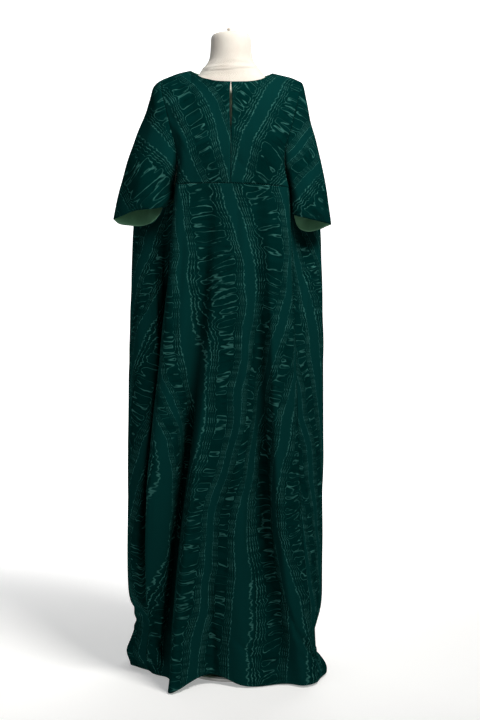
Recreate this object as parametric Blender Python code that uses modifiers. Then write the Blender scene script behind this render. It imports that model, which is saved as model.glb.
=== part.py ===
"""Moroccan kaftan in plain heavy silk, worn on a limbless dress form with a round stand.

Metres, +Z up. The wearer faces -Y, so +X is the wearer's left. Z = 0 is the floor that the stand rests on.
Every cloth piece is a wall CLOTH thick. The skirt is a loft through closed sections whose points follow the
folds of the FOLDS table; the bodice halves and sleeves are lofts between their own seam and hem lines.
"""
import math

import bpy
import numpy as np

# ---- sizes of the kaftan, metres ----
CLOTH = 0.002            # thickness of the silk with its turned edges
SEAM_GAP = 0.0010        # each piece stops this far short of a seam line
SLIT_HALF = 0.0026       # half the opening of the front slit
SLIT_END = 1.336         # height where the slit closes
UNDERARM = 1.160         # height of the underarm point
CHEST_RISE = 0.004       # how far the bodice hangs clear of the form at the upper chest
BUST_RISE = 0.007        # how far the bodice swells over each bust point
SLEEVE_PUFF = 0.022      # how far a sleeve layer swells between its edges

# Heights of the four sections of the skirt that the FOLDS table gives.
LEVELS = (1.20, 0.80, 0.35, 0.0)

# A row for each ridge or valley of the skirt, once round the body from the wearer's right front side seam:
# name, height of its hem, then across and depth (cm) at each of the LEVELS.
FOLDS = (
    ("side_seam_right", 0.4, -13.7, -6.0, -16.9, -3.2, -20.8, -7.6, -20.5, -2.0),
    ("panel_ridge_right", 0.4, -12.7, -10.6, -15.8, -13.0, -19.8, -15.0, -19.2, -4.5),
    ("panel_face_right", 0.5, -8.8, -11.6, -11.8, -13.4, -15.4, -13.8, -17.6, -6.4),
    ("valley_a", 0.5, -5.0, -12.1, -7.8, -11.0, -13.0, -5.8, -16.2, -7.6),
    ("ridge_a", 0.3, -2.9, -12.5, -5.5, -15.0, -10.4, -17.6, -14.2, -20.0),
    ("middle", 2.6, 0.0, -12.8, 0.1, -15.4, -4.5, -14.8, -4.2, -12.2),
    ("face_b", 0.5, 2.9, -12.8, 3.4, -15.6, 1.6, -16.4, 3.2, -15.0),
    ("valley_b", 0.3, 6.2, -12.3, 6.8, -12.4, 9.2, -10.6, 13.6, -12.8),
    ("ridge_b", 0.5, 9.1, -12.0, 10.0, -15.2, 12.4, -16.2, 17.6, -14.6),
    ("panel_ridge_left", 0.5, 13.6, -10.4, 14.6, -13.2, 15.4, -14.2, 20.8, -12.0),
    ("side_seam_left", 0.5, 14.4, -7.6, 15.6, -11.0, 17.4, -11.8, 21.6, -9.2),
    ("side_ridge_left", 0.4, 16.6, 0.0, 18.4, -8.6, 19.6, -9.2, 23.0, -4.5),
    ("edge_left", 0.4, 21.8, 2.6, 22.7, -1.6, 22.6, -2.0, 22.4, 0.5),
    ("tuck_left", 0.4, 18.4, 5.6, 20.2, 6.0, 19.6, 7.0, 20.0, 7.6),
    ("back_ridge_1", 0.3, 15.9, 8.6, 19.2, 12.4, 20.6, 15.2, 21.6, 17.0),
    ("back_valley_1", 0.4, 10.6, 10.6, 12.2, 13.0, 13.2, 14.8, 13.6, 15.8),
    ("back_ridge_2", 0.3, 6.8, 12.3, 8.2, 17.2, 9.2, 21.4, 9.8, 24.0),
    ("back_valley_2", 0.4, 2.2, 12.1, 3.0, 15.0, 3.4, 17.4, 3.6, 18.6),
    ("back_ridge_3", 0.3, -3.0, 12.6, -2.6, 17.8, -2.2, 22.6, -1.8, 25.4),
    ("back_valley_3", 0.4, -7.4, 11.6, -8.2, 14.4, -8.6, 16.8, -8.6, 18.0),
    ("back_ridge_4", 0.3, -11.4, 11.4, -13.2, 16.2, -14.8, 20.2, -15.8, 22.4),
    ("back_valley_4", 0.4, -15.4, 8.6, -16.8, 10.6, -18.0, 12.2, -18.8, 13.0),
    ("back_ridge_5", 0.3, -20.6, 6.8, -22.4, 8.6, -24.0, 10.2, -24.8, 11.0),
    ("tuck_right", 0.4, -24.0, 3.8, -25.0, -1.2, -25.2, -1.5, -23.8, 6.5),
    ("edge_right", 0.4, -21.4, 1.6, -21.6, -7.0, -25.0, -6.5, -25.0, 3.0),
    ("side_ridge_right", 0.4, -17.2, 0.5, -17.9, -8.2, -22.4, -9.0, -23.2, 0.5),
)
FRONT_SPANS = 10         # spans of the table that make the front skirt; the rest is the back
FRONT_STEPS = 4          # columns of the mesh between two rows of the table, in front
BACK_STEPS = 3           # the same behind

# Dents and swellings where the long cloth breaks on the floor:
# row of FOLDS it is centred on, height, reach round (rows), reach up and down, push outward (metres).
BREAKS = (
    (24.5, 0.130, 1.6, 0.040, -0.021),
    (24.4, 0.042, 1.4, 0.026, 0.012),
    (11.5, 0.090, 1.4, 0.052, -0.021),
    (11.6, 0.018, 1.2, 0.022, 0.009),
)

# ---- neckline, shoulders and sleeves: points (across, depth, height) in metres ----
NECK_FRONT = ((0.0, -0.0925, 1.4480), (-0.034, -0.0885, 1.4505), (-0.068, -0.066, 1.4600),
              (-0.088, -0.036, 1.4735), (-0.0980, -0.006, 1.4830))
NECK_BACK = ((-0.0980, -0.006, 1.4830), (-0.086, 0.032, 1.4815), (-0.050, 0.062, 1.4750),
             (0.0, 0.073, 1.4720))
SHOULDER = ((-0.0980, -0.006, 1.4830), (-0.140, -0.002, 1.4735), (-0.172, 0.002, 1.4610))
ARMHOLE_FRONT = ((-0.172, 0.002, 1.4610), (-0.167, -0.052, 1.425), (-0.148, -0.088, 1.350),
                 (-0.129, -0.097, 1.270))
CENTRE_FRONT = ((0.0, -0.0925, 1.4480), (0.0, -0.107, 1.385), (0.0, -0.1225, 1.310))
# Overarm fold of a sleeve, from the shoulder point to the outer corner of the hem.
OVERARM = ((-0.172, 0.002, 1.4610), (-0.190, 0.003, 1.4455), (-0.1985, 0.003, 1.4200),
           (-0.2120, 0.002, 1.3760), (-0.2340, -0.001, 1.3220), (-0.2525, -0.016, 1.2670),
           (-0.2700, -0.030, 1.2000), (-0.2860, -0.046, 1.1190))
HEM_FRONT = ((-0.2860, -0.046, 1.1190), (-0.262, -0.088, 1.1265), (-0.226, -0.113, 1.1385),
             (-0.184, -0.122, 1.1430), (-0.164, -0.112, 1.1460), (-0.163, -0.088, 1.1420))
HEM_BACK = ((-0.2860, -0.046, 1.1190), (-0.274, -0.052, 1.1085), (-0.242, -0.062, 1.1025),
            (-0.208, -0.073, 1.1030), (-0.182, -0.082, 1.1160), (-0.163, -0.088, 1.1420))
# The wearer's left sleeve hangs a little closer and lower, given on the right side like the others.
HEM_FRONT_LEFT = ((-0.2440, -0.046, 1.1060), (-0.228, -0.080, 1.1100), (-0.200, -0.108, 1.1160),
                  (-0.172, -0.120, 1.1220), (-0.153, -0.112, 1.1280), (-0.150, -0.088, 1.1300))
HEM_BACK_LEFT = ((-0.2440, -0.046, 1.1060), (-0.234, -0.050, 1.1020), (-0.214, -0.058, 1.0935),
                 (-0.186, -0.068, 1.0880), (-0.162, -0.080, 1.0980), (-0.150, -0.088, 1.1300))
# Shift (across, height) of the outer end of the left overarm.
LEFT_CORNER_SHIFT = (-0.042, -0.013)
LEFT_SHOULDER_DROP = 0.006

BODICE_ROWS = 8
YOKE_ROWS = 2            # rows of the front skirt beside the lower armhole
SKIRT_ROWS = 13          # rows from the underarm to the hem
SLEEVE_ROWS = 7
NECK_COLUMNS = 11        # of the bodice's columns, this many lie on the neckline

# ---- dress form and stand, metres ----
# height, half width, front, back of the jersey-covered form
FORM_SECTIONS = (
    (0.712, 0.146, -0.082, 0.094), (0.722, 0.156, -0.089, 0.102), (0.760, 0.163, -0.092, 0.107),
    (0.850, 0.166, -0.094, 0.110), (0.950, 0.148, -0.086, 0.096), (1.050, 0.121, -0.076, 0.074),
    (1.120, 0.124, -0.081, 0.078), (1.200, 0.140, -0.097, 0.090), (1.270, 0.148, -0.110, 0.099),
    (1.320, 0.152, -0.106, 0.100), (1.370, 0.152, -0.093, 0.094), (1.405, 0.150, -0.083, 0.083),
    (1.428, 0.134, -0.075, 0.067), (1.444, 0.114, -0.070, 0.058), (1.458, 0.095, -0.064, 0.052),
    (1.472, 0.081, -0.059, 0.048), (1.488, 0.070, -0.0575, 0.047), (1.502, 0.058, -0.055, 0.044),
    (1.520, 0.0520, -0.054, 0.043), (1.548, 0.0500, -0.054, 0.041), (1.562, 0.0490, -0.053, 0.040),
    (1.570, 0.0455, -0.049, 0.037), (1.575, 0.036, -0.041, 0.029), (1.5775, 0.022, -0.029, 0.017),
)
FORM_ROUND = 40          # points round each section
KNOB_AT = (-0.005, -0.006, 1.5836)
POLE_RADIUS = 0.011
POLE_AT = (0.0, 0.018)
POLE_TOP = 0.7113
BASE_RADIUS = 0.122
BASE_HEIGHT = 0.014
LEVEL_GAP = 0.0004       # clearance between two parts that rest on each other
FORM_POWER = 2.25        # how square the form's sections are below the neck; 2 is an ellipse
CLEARANCE = 0.0070       # the cloth's outer face keeps this far outside the form


# ---- helpers ----
def through(points, count=None, at=None):
    """Points along a smooth curve through the given points, evenly by chord length or at the given shares."""
    pts = np.asarray(points, float)
    chord = np.linalg.norm(np.diff(pts, axis=0), axis=1)
    knots = np.concatenate([[0.0], np.cumsum(chord)])
    knots = knots / knots[-1]
    shares = np.linspace(0.0, 1.0, count) if at is None else np.asarray(at, float)
    return hermite(knots, pts, shares)


def hermite(knots, values, at):
    """Smooth curve with its values at the knots, each slope that of the parabola through three knots."""
    values = np.asarray(values, float)
    step = np.diff(knots)
    rise = np.diff(values, axis=0) / step.reshape((-1,) + (1,) * (values.ndim - 1))
    slope = np.empty_like(values)
    before = step[:-1].reshape((-1,) + (1,) * (values.ndim - 1))
    after = step[1:].reshape((-1,) + (1,) * (values.ndim - 1))
    slope[1:-1] = (rise[:-1] * after + rise[1:] * before) / (before + after)
    slope[0] = 1.5 * rise[0] - 0.5 * slope[1]
    slope[-1] = 1.5 * rise[-1] - 0.5 * slope[-2]
    span = np.clip(np.searchsorted(knots, at, side="right") - 1, 0, len(knots) - 2)
    t = (at - knots[span]) / step[span]
    shape = (-1,) + (1,) * (values.ndim - 1)
    h = step[span].reshape(shape)
    t = t.reshape(shape)
    return ((2 * t**3 - 3 * t**2 + 1) * values[span] + (t**3 - 2 * t**2 + t) * h * slope[span]
            + (3 * t**2 - 2 * t**3) * values[span + 1] + (t**3 - t**2) * h * slope[span + 1])


def coons(top, bottom, left, right):
    """Grid [row, column] between four edge curves that meet at their corners."""
    rows, columns = len(left), len(top)
    v = np.linspace(0, 1, rows)[:, None, None]
    u = np.linspace(0, 1, columns)[None, :, None]
    ruled_v = (1 - v) * top[None] + v * bottom[None]
    ruled_u = (1 - u) * left[:, None] + u * right[:, None]
    corners = ((1 - v) * (1 - u) * top[0] + (1 - v) * u * top[-1]
               + v * (1 - u) * bottom[0] + v * u * bottom[-1])
    return ruled_v + ruled_u - corners


def normals(grid, wrap=False):
    """Unit normals of a grid of points; the second axis closes on itself when wrap is set."""
    down = np.gradient(grid, axis=0)
    if wrap:
        across = np.roll(grid, -1, axis=1) - np.roll(grid, 1, axis=1)
    else:
        across = np.gradient(grid, axis=1)
    n = np.cross(across, down)
    return n / np.maximum(np.linalg.norm(n, axis=2, keepdims=True), 1e-12)


# ---- cloth surfaces ----
def clear_of_form(grid):
    """The grid with any point too near the form moved straight out from its axis, at its own height."""
    table = np.array(FORM_SECTIONS)
    half, front, rear = (np.interp(grid[..., 2], table[:, 0], table[:, k]) for k in (1, 2, 3))
    depth = np.where(grid[..., 1] < 0, -front, rear) + CLEARANCE
    reach = (np.abs(grid[..., 0] / (half + CLEARANCE)) ** FORM_POWER
             + np.abs(grid[..., 1] / depth) ** FORM_POWER) ** (1 / FORM_POWER)
    out = grid.copy()
    out[..., :2] *= (np.maximum(reach, 1.0) / np.maximum(reach, 1e-6))[..., None]
    return out


def section_points(heights):
    """Every fold line at the given heights [row, fold]: an array [row, fold, 3]."""
    table = np.array([row[2:] for row in FOLDS], float) / 100.0
    levels = np.array(LEVELS)[::-1]
    out = np.empty(heights.shape + (3,))
    for i, row in enumerate(table):
        xy = row.reshape(-1, 2)[::-1]
        out[:, i, :2] = hermite(levels, xy, heights[:, i])
    out[..., 2] = heights
    return out


def ring_columns(lines, first, last, steps):
    """Columns of a closed section [row, fold, 3] from one fold to another, so many to a span."""
    count = lines.shape[1]
    picked = []
    for i in range(first, last):
        p0, p1, p2, p3 = (lines[:, (i + k) % count] for k in (-1, 0, 1, 2))
        h0, h1, h2 = (np.linalg.norm(b - a, axis=1)[:, None] for a, b in ((p0, p1), (p1, p2), (p2, p3)))
        m1 = ((p1 - p0) / h0 * h1 + (p2 - p1) / h1 * h0) / (h0 + h1) * h1
        m2 = ((p2 - p1) / h1 * h2 + (p3 - p2) / h2 * h1) / (h1 + h2) * h1
        for k in range(steps):
            t = k / steps
            picked.append((2 * t**3 - 3 * t**2 + 1) * p1 + (t**3 - 2 * t**2 + t) * m1
                          + (3 * t**2 - 2 * t**3) * p2 + (t**3 - t**2) * m2)
    picked.append(lines[:, last % count])
    return np.stack(picked, axis=1)


def broken(grid, first, steps):
    """The grid with the breaks of the long cloth pushed in and out near the floor."""
    place = first + np.arange(grid.shape[1]) / steps
    outward = grid * (1.0, 1.0, 0.0)
    outward = outward / np.maximum(np.linalg.norm(outward, axis=2, keepdims=True), 1e-9)
    push = np.zeros(grid.shape[:2])
    for centre, height, reach, tall, depth in BREAKS:
        away = (place - centre + 13) % len(FOLDS) - 13
        push += depth * np.exp(-(away / reach) ** 2)[None] * np.exp(-((grid[..., 2] - height) / tall) ** 2)
    return grid + outward * push[..., None]


def seam_heights():
    """Height of the empire seam at each fold line of the front."""
    across = np.array([row[2] for row in FOLDS[:FRONT_SPANS + 1]]) / 100.0
    return 1.2035 - 0.30 * across**2 - 0.022 * across


def skirt_shares():
    """Shares of the way from the underarm down to the hem, closer together near the floor."""
    t = np.linspace(0, 1, SKIRT_ROWS + 1)
    return t + 0.12 * np.sin(math.pi * t)


def below_underarm():
    """Fold lines from the level of the underarm to the hem [row, fold, 3]."""
    hems = np.array([row[1] for row in FOLDS]) / 100.0
    heights = UNDERARM + (hems - UNDERARM)[None] * skirt_shares()[:, None]
    return section_points(heights)


def front_skirt_surface():
    """Front skirt from the empire seam to the hem, wearer's right side seam to left."""
    n = FRONT_SPANS + 1
    tops = seam_heights()
    shares = np.linspace(0, 1, YOKE_ROWS + 1)[:-1]
    upper = np.tile(np.full(len(FOLDS), 1.2), (YOKE_ROWS, 1))
    upper[:, :n] = tops[None] + (UNDERARM - tops)[None] * shares[:, None]
    upper[:, n:] = (1.2 + (UNDERARM - 1.2) * shares)[:, None]
    lines = np.concatenate([section_points(upper), below_underarm()], axis=0)
    grid = ring_columns(lines, 0, FRONT_SPANS, FRONT_STEPS)
    return clear_of_form(broken(grid, 0, FRONT_STEPS))


def shoulder_line(side):
    """Neck point to shoulder point; side is -1 for the wearer's right and 1 for the left."""
    pts = np.array(SHOULDER)
    if side > 0:
        pts = pts * (-1, 1, 1)
        pts[:, 2] -= LEFT_SHOULDER_DROP
        pts[:, 0] += 0.003
    return pts


def neck_curve(points, side):
    """A neckline half on one side, lowered with its shoulder."""
    pts = np.array(points)
    if side > 0:
        share = np.abs(pts[:, 0]) / abs(SHOULDER[0][0])
        pts = pts * (-1, 1, 1)
        pts[:, 2] -= LEFT_SHOULDER_DROP * share
        pts[:, 0] += 0.003 * share
    return pts


def bodice_surface(side, skirt_top):
    """One bias-cut half of the bodice: columns run from the armhole to the centre front."""
    across = len(skirt_top)
    shoulder = through(shoulder_line(side), across - NECK_COLUMNS)
    neck = through(neck_curve(NECK_FRONT, side), NECK_COLUMNS + 1)
    top = np.concatenate([shoulder[::-1], neck[::-1][1:]])
    arm = np.array(ARMHOLE_FRONT) * (1 if side < 0 else -1, 1, 1)
    arm[0] = shoulder[-1]
    armhole = through(np.vstack([arm, skirt_top[0]]), BODICE_ROWS + 1)
    centre = through(np.vstack([np.array(CENTRE_FRONT), skirt_top[-1]]), BODICE_ROWS + 1)
    u = np.linspace(0, 1, across)[None, :, None]
    v = np.linspace(0, 1, BODICE_ROWS + 1)[:, None, None]
    share = np.concatenate([u, np.sin(math.pi / 2 * u) ** 0.9, u], axis=2)
    base = armhole[:, None] * (1 - share) + centre[:, None] * share
    fade = np.concatenate([1 - v, (1 - v) ** 6, (1 - v) ** 3], axis=2)
    grid = base + (top - base[0])[None] * fade + (skirt_top - base[-1])[None] * v**2
    swell = BUST_RISE * np.exp(-((v - 0.66) / 0.24) ** 2) + CHEST_RISE * np.exp(-((v - 0.26) / 0.2) ** 2)
    grid[..., 1:2] -= swell * np.sin(math.pi * u) ** 1.2 * np.sin(math.pi * v) ** 0.7
    return clear_of_form(grid)


def back_surface():
    """The back, one piece: neckline and shoulders down to the hem, from side seam to side seam."""
    lines = below_underarm()
    first, last = FRONT_SPANS, len(FOLDS)
    lower = broken(ring_columns(lines, first, last, BACK_STEPS), first, BACK_STEPS)
    columns = lower.shape[1]
    neck_left = neck_curve(NECK_BACK, 1)
    neck_right = neck_curve(NECK_BACK, -1)
    neck = np.vstack([neck_left, neck_right[::-1][1:]])
    at_shoulder = (columns - 16) // 2
    left = through(shoulder_line(1), at_shoulder + 1)[::-1]
    right = through(shoulder_line(-1), at_shoulder + 1)
    middle = through(neck, columns - 2 * at_shoulder)
    top = np.vstack([left[:-1], middle, right[1:]])
    u = np.linspace(-1, 1, columns)[:, None]
    edge = np.abs(u) ** 3
    flat = np.clip(np.abs(u) / 0.34, 0, 1) ** 2
    lean = np.hstack([-0.03 * u, 0.13 + 0.19 * flat, -0.30 + 0.14 * flat])
    slope = (lower[1] - lower[0]) / (lower[0, :, 2] - lower[1, :, 2])[:, None]
    fall = slope * (top[:, 2] - lower[0, :, 2])[:, None]
    fall = fall * (1 - edge) + edge * np.hstack([0.02 * np.sign(u), -0.16 + 0 * u, -0.24 + 0 * u])
    rows = []
    for v in np.linspace(0, 1, BODICE_ROWS + 1)[:-1]:
        rows.append((2 * v**3 - 3 * v**2 + 1) * top + (v**3 - 2 * v**2 + v) * lean
                    + (3 * v**2 - 2 * v**3) * lower[0] + (v**3 - v**2) * fall)
    return clear_of_form(np.concatenate([np.array(rows), lower], axis=0))


def sleeve_surface(side, front_edge, back_edge):
    """A short wide sleeve: rows from the armhole to the hem, columns once round from the overarm fold."""
    flip = np.array((1.0 if side < 0 else -1.0, 1.0, 1.0))
    overarm = np.array(OVERARM) * flip
    hem_front = np.array(HEM_FRONT if side < 0 else HEM_FRONT_LEFT) * flip
    hem_back = np.array(HEM_BACK if side < 0 else HEM_BACK_LEFT) * flip
    if side > 0:
        share = np.clip((np.abs(overarm[:, 0]) - 0.16) / 0.126, 0, 1)
        overarm[:, 0] += LEFT_CORNER_SHIFT[0] * share
        overarm[:, 2] += LEFT_CORNER_SHIFT[1] * share**0.5
    overarm[0] = front_edge[0]
    over = through(overarm, SLEEVE_ROWS + 1)
    under_front = np.vstack([front_edge[-1], (front_edge[-1] + hem_front[-1]) / 2, hem_front[-1]])
    under = through(under_front, SLEEVE_ROWS + 1)
    layers = []
    for edge, hem, way in ((front_edge, hem_front, -1.0), (back_edge, hem_back, 1.0)):
        hem_line = through(hem, len(edge))
        grid = coons(edge, hem_line, over, under)
        a = np.linspace(0, 1, len(edge))[None]
        t = np.linspace(0, 1, SLEEVE_ROWS + 1)[:, None]
        round_edge = np.sqrt(a) * (1 - a) ** 0.8 * 1.9
        puff = SLEEVE_PUFF if way < 0 else 0.12 * SLEEVE_PUFF
        grid[..., 1] += way * puff * round_edge * np.sin(math.pi * t) ** 0.8
        layers.append(grid)
    front, back = layers
    return np.concatenate([front, back[:, ::-1][:, 1:-1]], axis=1)


# ---- cloth solids ----
def rims(piece):
    """The edge lines of a piece: lists of (points, normals), one for each free edge of its grid."""
    grid, normal, wrap = piece
    if wrap:
        closed = np.append(np.arange(grid.shape[1]), 0)
        return [(grid[0, closed], normal[0, closed])]
    cuts = ((0, slice(None)), (-1, slice(None)), (slice(None), 0), (slice(None), -1))
    return [(grid[cut], normal[cut]) for cut in cuts]


def share_seams(pieces):
    """Turn the normals of pieces that meet at a seam to their mean there, unless the cloth folds sharply."""
    turned_normals = {}
    for name, (grid, normal, wrap) in pieces.items():
        others = [rim for other in pieces if other != name for rim in rims(pieces[other])]
        rows, columns = grid.shape[:2]
        border = np.zeros((rows, columns), bool)
        border[[0, -1]] = True
        if not wrap:
            border[:, [0, -1]] = True
        out = normal.copy()
        for r, c in np.argwhere(border):
            total = normal[r, c].copy()
            for points, facing in others:
                start, way = points[:-1], np.diff(points, axis=0)
                long = np.maximum((way**2).sum(axis=1), 1e-12)
                share = np.clip(((grid[r, c] - start) * way).sum(axis=1) / long, 0, 1)
                gap = np.linalg.norm(start + way * share[:, None] - grid[r, c], axis=1)
                k = int(gap.argmin())
                if gap[k] < 0.0012:
                    near = facing[k] * (1 - share[k]) + facing[k + 1] * share[k]
                    if near @ normal[r, c] > -0.1:
                        total += near
            out[r, c] = total / np.linalg.norm(total)
        turned_normals[name] = out
    for name, out in turned_normals.items():
        pieces[name][1] = out


def drawn_back(grid, edges):
    """Move the named edges of a grid a seam gap into the piece."""
    out = grid.copy()
    moves = {"top": ((0, slice(None)), (1, slice(None))), "bottom": ((-1, slice(None)), (-2, slice(None))),
             "left": ((slice(None), 0), (slice(None), 1)), "right": ((slice(None), -1), (slice(None), -2))}
    for edge in edges:
        at, inside = moves[edge]
        step = grid[inside] - grid[at]
        out[at] += SEAM_GAP * step / np.maximum(np.linalg.norm(step, axis=-1, keepdims=True), 1e-9)
    return out


def cloth_mesh(name, grid, normal, wrap):
    """A wall CLOTH thick behind the grid of points, as one closed mesh."""
    rows, columns = grid.shape[:2]
    outer = grid.reshape(-1, 3)
    inner = (grid - CLOTH * normal).reshape(-1, 3)
    count = rows * columns
    faces = []
    across = columns if wrap else columns - 1
    for r in range(rows - 1):
        for c in range(across):
            a, b = r * columns + c, r * columns + (c + 1) % columns
            d, e = a + columns, b + columns
            faces.append((a, d, e, b))
            faces.append((count + a, count + b, count + e, count + d))
    for c in range(across):
        a, b = c, (c + 1) % columns
        faces.append((a, b, count + b, count + a))
        a, b = a + (rows - 1) * columns, b + (rows - 1) * columns
        faces.append((b, a, count + a, count + b))
    if not wrap:
        for r in range(rows - 1):
            a, b = r * columns, (r + 1) * columns
            faces.append((b, a, count + a, count + b))
            a, b = a + columns - 1, b + columns - 1
            faces.append((a, b, count + b, count + a))
    mesh = bpy.data.meshes.new(name)
    mesh.from_pydata(np.vstack([outer, inner]).tolist(), [], faces)
    mesh.validate()
    return mesh


def add_object(name, mesh, material, collection):
    """Put a mesh into the scene as one named object with its material."""
    thing = bpy.data.objects.new(name, mesh)
    thing.data.materials.append(material)
    collection.objects.link(thing)
    return thing


def material(name, colour, roughness, metallic=0.0):
    """A plain Principled material."""
    made = bpy.data.materials.new(name)
    made.use_nodes = True
    shader = made.node_tree.nodes["Principled BSDF"]
    shader.inputs["Base Color"].default_value = (*colour, 1.0)
    shader.inputs["Roughness"].default_value = roughness
    shader.inputs["Metallic"].default_value = metallic
    made.diffuse_color = (*colour, 1.0)
    return made


def open_slit(grid, side):
    """Part the centre front edge of a bodice half between the hook and the foot of the slit."""
    height = grid[:, -1, 2]
    top = NECK_FRONT[0][2]
    share = np.clip((top - height) / (top - SLIT_END), 0, 1)
    part = SLIT_HALF * np.sin(math.pi * share) ** 0.6
    grid[:, -1, 0] += side * (part + SEAM_GAP)
    return grid


def build_cloth(collection, silk):
    """All the pieces of the kaftan."""
    skirt = front_skirt_surface()
    back = back_surface()
    middle = 5 * FRONT_STEPS
    bodice_right = bodice_surface(-1, skirt[0, :middle + 1])
    bodice_left = bodice_surface(1, skirt[0, middle:][::-1])
    front_right = np.vstack([bodice_right[:, 0], skirt[1:YOKE_ROWS + 1, 0]])
    front_left = np.vstack([bodice_left[:, 0], skirt[1:YOKE_ROWS + 1, -1]])
    back_right = back[:BODICE_ROWS + 1, -1]
    back_left = back[:BODICE_ROWS + 1, 0]
    resampled = [through(edge, len(front_right)) for edge in (back_right, back_left)]
    sleeve_right = sleeve_surface(-1, front_right, resampled[0])
    sleeve_left = sleeve_surface(1, front_left, resampled[1])
    pieces = {
        "front_skirt": [skirt, normals(skirt), False],
        "back": [back, normals(back), False],
        "front_bodice_right": [bodice_right, normals(bodice_right), False],
        "front_bodice_left": [bodice_left, -normals(bodice_left), False],
        "sleeve_right": [sleeve_right, -normals(sleeve_right, True), True],
        "sleeve_left": [sleeve_left, normals(sleeve_left, True), True],
    }
    for name in pieces:
        grid, normal, wrap = pieces[name]
        outward = {"back": (0, 1, 0)}.get(name, (0, -1, 0))
        if wrap:
            share = (normal[:, 3] @ np.array((0, -1, 0))).mean()
        elif name == "back":
            share = (normal[:6, normal.shape[1] // 2] @ np.array(outward)).mean()
        else:
            share = (normal[:, normal.shape[1] // 2] @ np.array(outward)).mean()
        if share < 0:
            pieces[name][1] = -normal
    share_seams(pieces)
    trims = {
        "front_skirt": ("top", "left", "right"), "back": ("top", "left", "right"),
        "front_bodice_right": ("top", "left", "bottom"), "front_bodice_left": ("top", "left", "bottom"),
        "sleeve_right": ("top",), "sleeve_left": ("top",),
    }
    for name, (grid, normal, wrap) in pieces.items():
        grid = drawn_back(grid, trims[name])
        if name == "front_bodice_right":
            grid = open_slit(grid, -1)
        if name == "front_bodice_left":
            grid = open_slit(grid, 1)
        mesh = cloth_mesh(name, grid, normal, wrap)
        face_out(mesh)
        add_object(name, mesh, silk, collection)


def face_out(mesh):
    """Turn all faces of a closed mesh outward if its volume comes out negative."""
    v = np.empty(len(mesh.vertices) * 3)
    mesh.vertices.foreach_get("co", v)
    v = v.reshape(-1, 3)
    mesh.calc_loop_triangles()
    t = np.empty(len(mesh.loop_triangles) * 3, int)
    mesh.loop_triangles.foreach_get("vertices", t)
    a, b, c = (v[t.reshape(-1, 3)[:, k]] for k in range(3))
    if np.einsum("ij,ij->", a, np.cross(b, c)) < 0:
        mesh.flip_normals()


# ---- form and stand ----
def build_form(collection, jersey):
    """Limbless torso with neck and rounded neck cap: one closed loft through its sections."""
    angle = np.linspace(0, 2 * math.pi, FORM_ROUND, endpoint=False)
    rings = []
    for height, half, front, rear in FORM_SECTIONS:
        power = 2.0 / FORM_POWER if height < 1.47 else 1.0
        c, s = np.cos(angle), np.sin(angle)
        depth = np.where(s < 0, -front, rear)
        x = half * np.sign(c) * np.abs(c) ** power
        y = depth * np.sign(s) * np.abs(s) ** power
        rings.append(np.stack([x, y, np.full_like(x, height)], axis=1))
    knots = np.linspace(0, 1, len(rings))
    fine = hermite(knots, np.array(rings), np.linspace(0, 1, 2 * len(rings) - 1))
    n = FORM_ROUND
    verts = [tuple(p) for ring in fine for p in ring]
    faces = []
    for r in range(len(fine) - 1):
        for c in range(n):
            a, b = r * n + c, r * n + (c + 1) % n
            faces.append((a, b, b + n, a + n))
    low, high = len(verts), len(verts) + 1
    verts.append((0.0, 0.006, FORM_SECTIONS[0][0]))
    top = FORM_SECTIONS[-1]
    verts.append((0.0, (top[2] + top[3]) / 2, top[0] + 0.0006))
    last = (len(fine) - 1) * n
    for c in range(n):
        faces.append((low, (c + 1) % n, c))
        faces.append((high, last + c, last + (c + 1) % n))
    mesh = bpy.data.meshes.new("form_torso")
    mesh.from_pydata(verts, [], faces)
    mesh.polygons.foreach_set("use_smooth", [True] * len(mesh.polygons))
    face_out(mesh)
    add_object("form_torso", mesh, jersey, collection)


def build_knob(collection, jersey):
    """Small gathered knot of the jersey on the neck cap."""
    profile = ((0.0, 0.0052), (0.0026, 0.0048), (0.0044, 0.0030), (0.0050, 0.0004), (0.0040, -0.0020),
               (0.0030, -0.0034), (0.0034, -0.0046), (0.0, -0.0046))
    turned("form_knob", profile, KNOB_AT, 20, collection, jersey)


def turned(name, profile, at, steps, collection, finish):
    """A body of revolution about its own upright axis: profile points are (radius, height), top to bottom."""
    mesh = bpy.data.meshes.new(name)
    edges = [(i, i + 1) for i in range(len(profile) - 1)]
    mesh.from_pydata([(r, 0.0, z) for r, z in profile], edges, [])
    thing = add_object(name, mesh, finish, collection)
    thing.location = at
    screw = thing.modifiers.new("turn", "SCREW")
    screw.axis = "Z"
    screw.steps = steps
    screw.render_steps = steps
    screw.use_merge_vertices = True
    screw.merge_threshold = 0.00001
    screw.use_normal_calculate = True
    return thing


def build_stand(collection, steel):
    """Upright pole with a flange under the form, and a round weighted plate."""
    x, y = POLE_AT
    low = BASE_HEIGHT + LEVEL_GAP
    profile = ((0.0, POLE_TOP), (0.034, POLE_TOP), (0.034, POLE_TOP - 0.004), (0.016, POLE_TOP - 0.010),
               (POLE_RADIUS, POLE_TOP - 0.030), (POLE_RADIUS, low + 0.030), (0.017, low + 0.012),
               (0.026, low + 0.004), (0.026, low), (0.0, low))
    turned("stand_pole", profile, (x, y, 0.0), 32, collection, steel)
    plate = ((0.0, BASE_HEIGHT), (BASE_RADIUS - 0.006, BASE_HEIGHT - 0.0005),
             (BASE_RADIUS - 0.0018, BASE_HEIGHT - 0.0030), (BASE_RADIUS, BASE_HEIGHT - 0.0070),
             (BASE_RADIUS, 0.001), (BASE_RADIUS - 0.001, 0.0), (0.0, 0.0))
    turned("stand_base", plate, (x, y, 0.0), 64, collection, steel)


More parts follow.
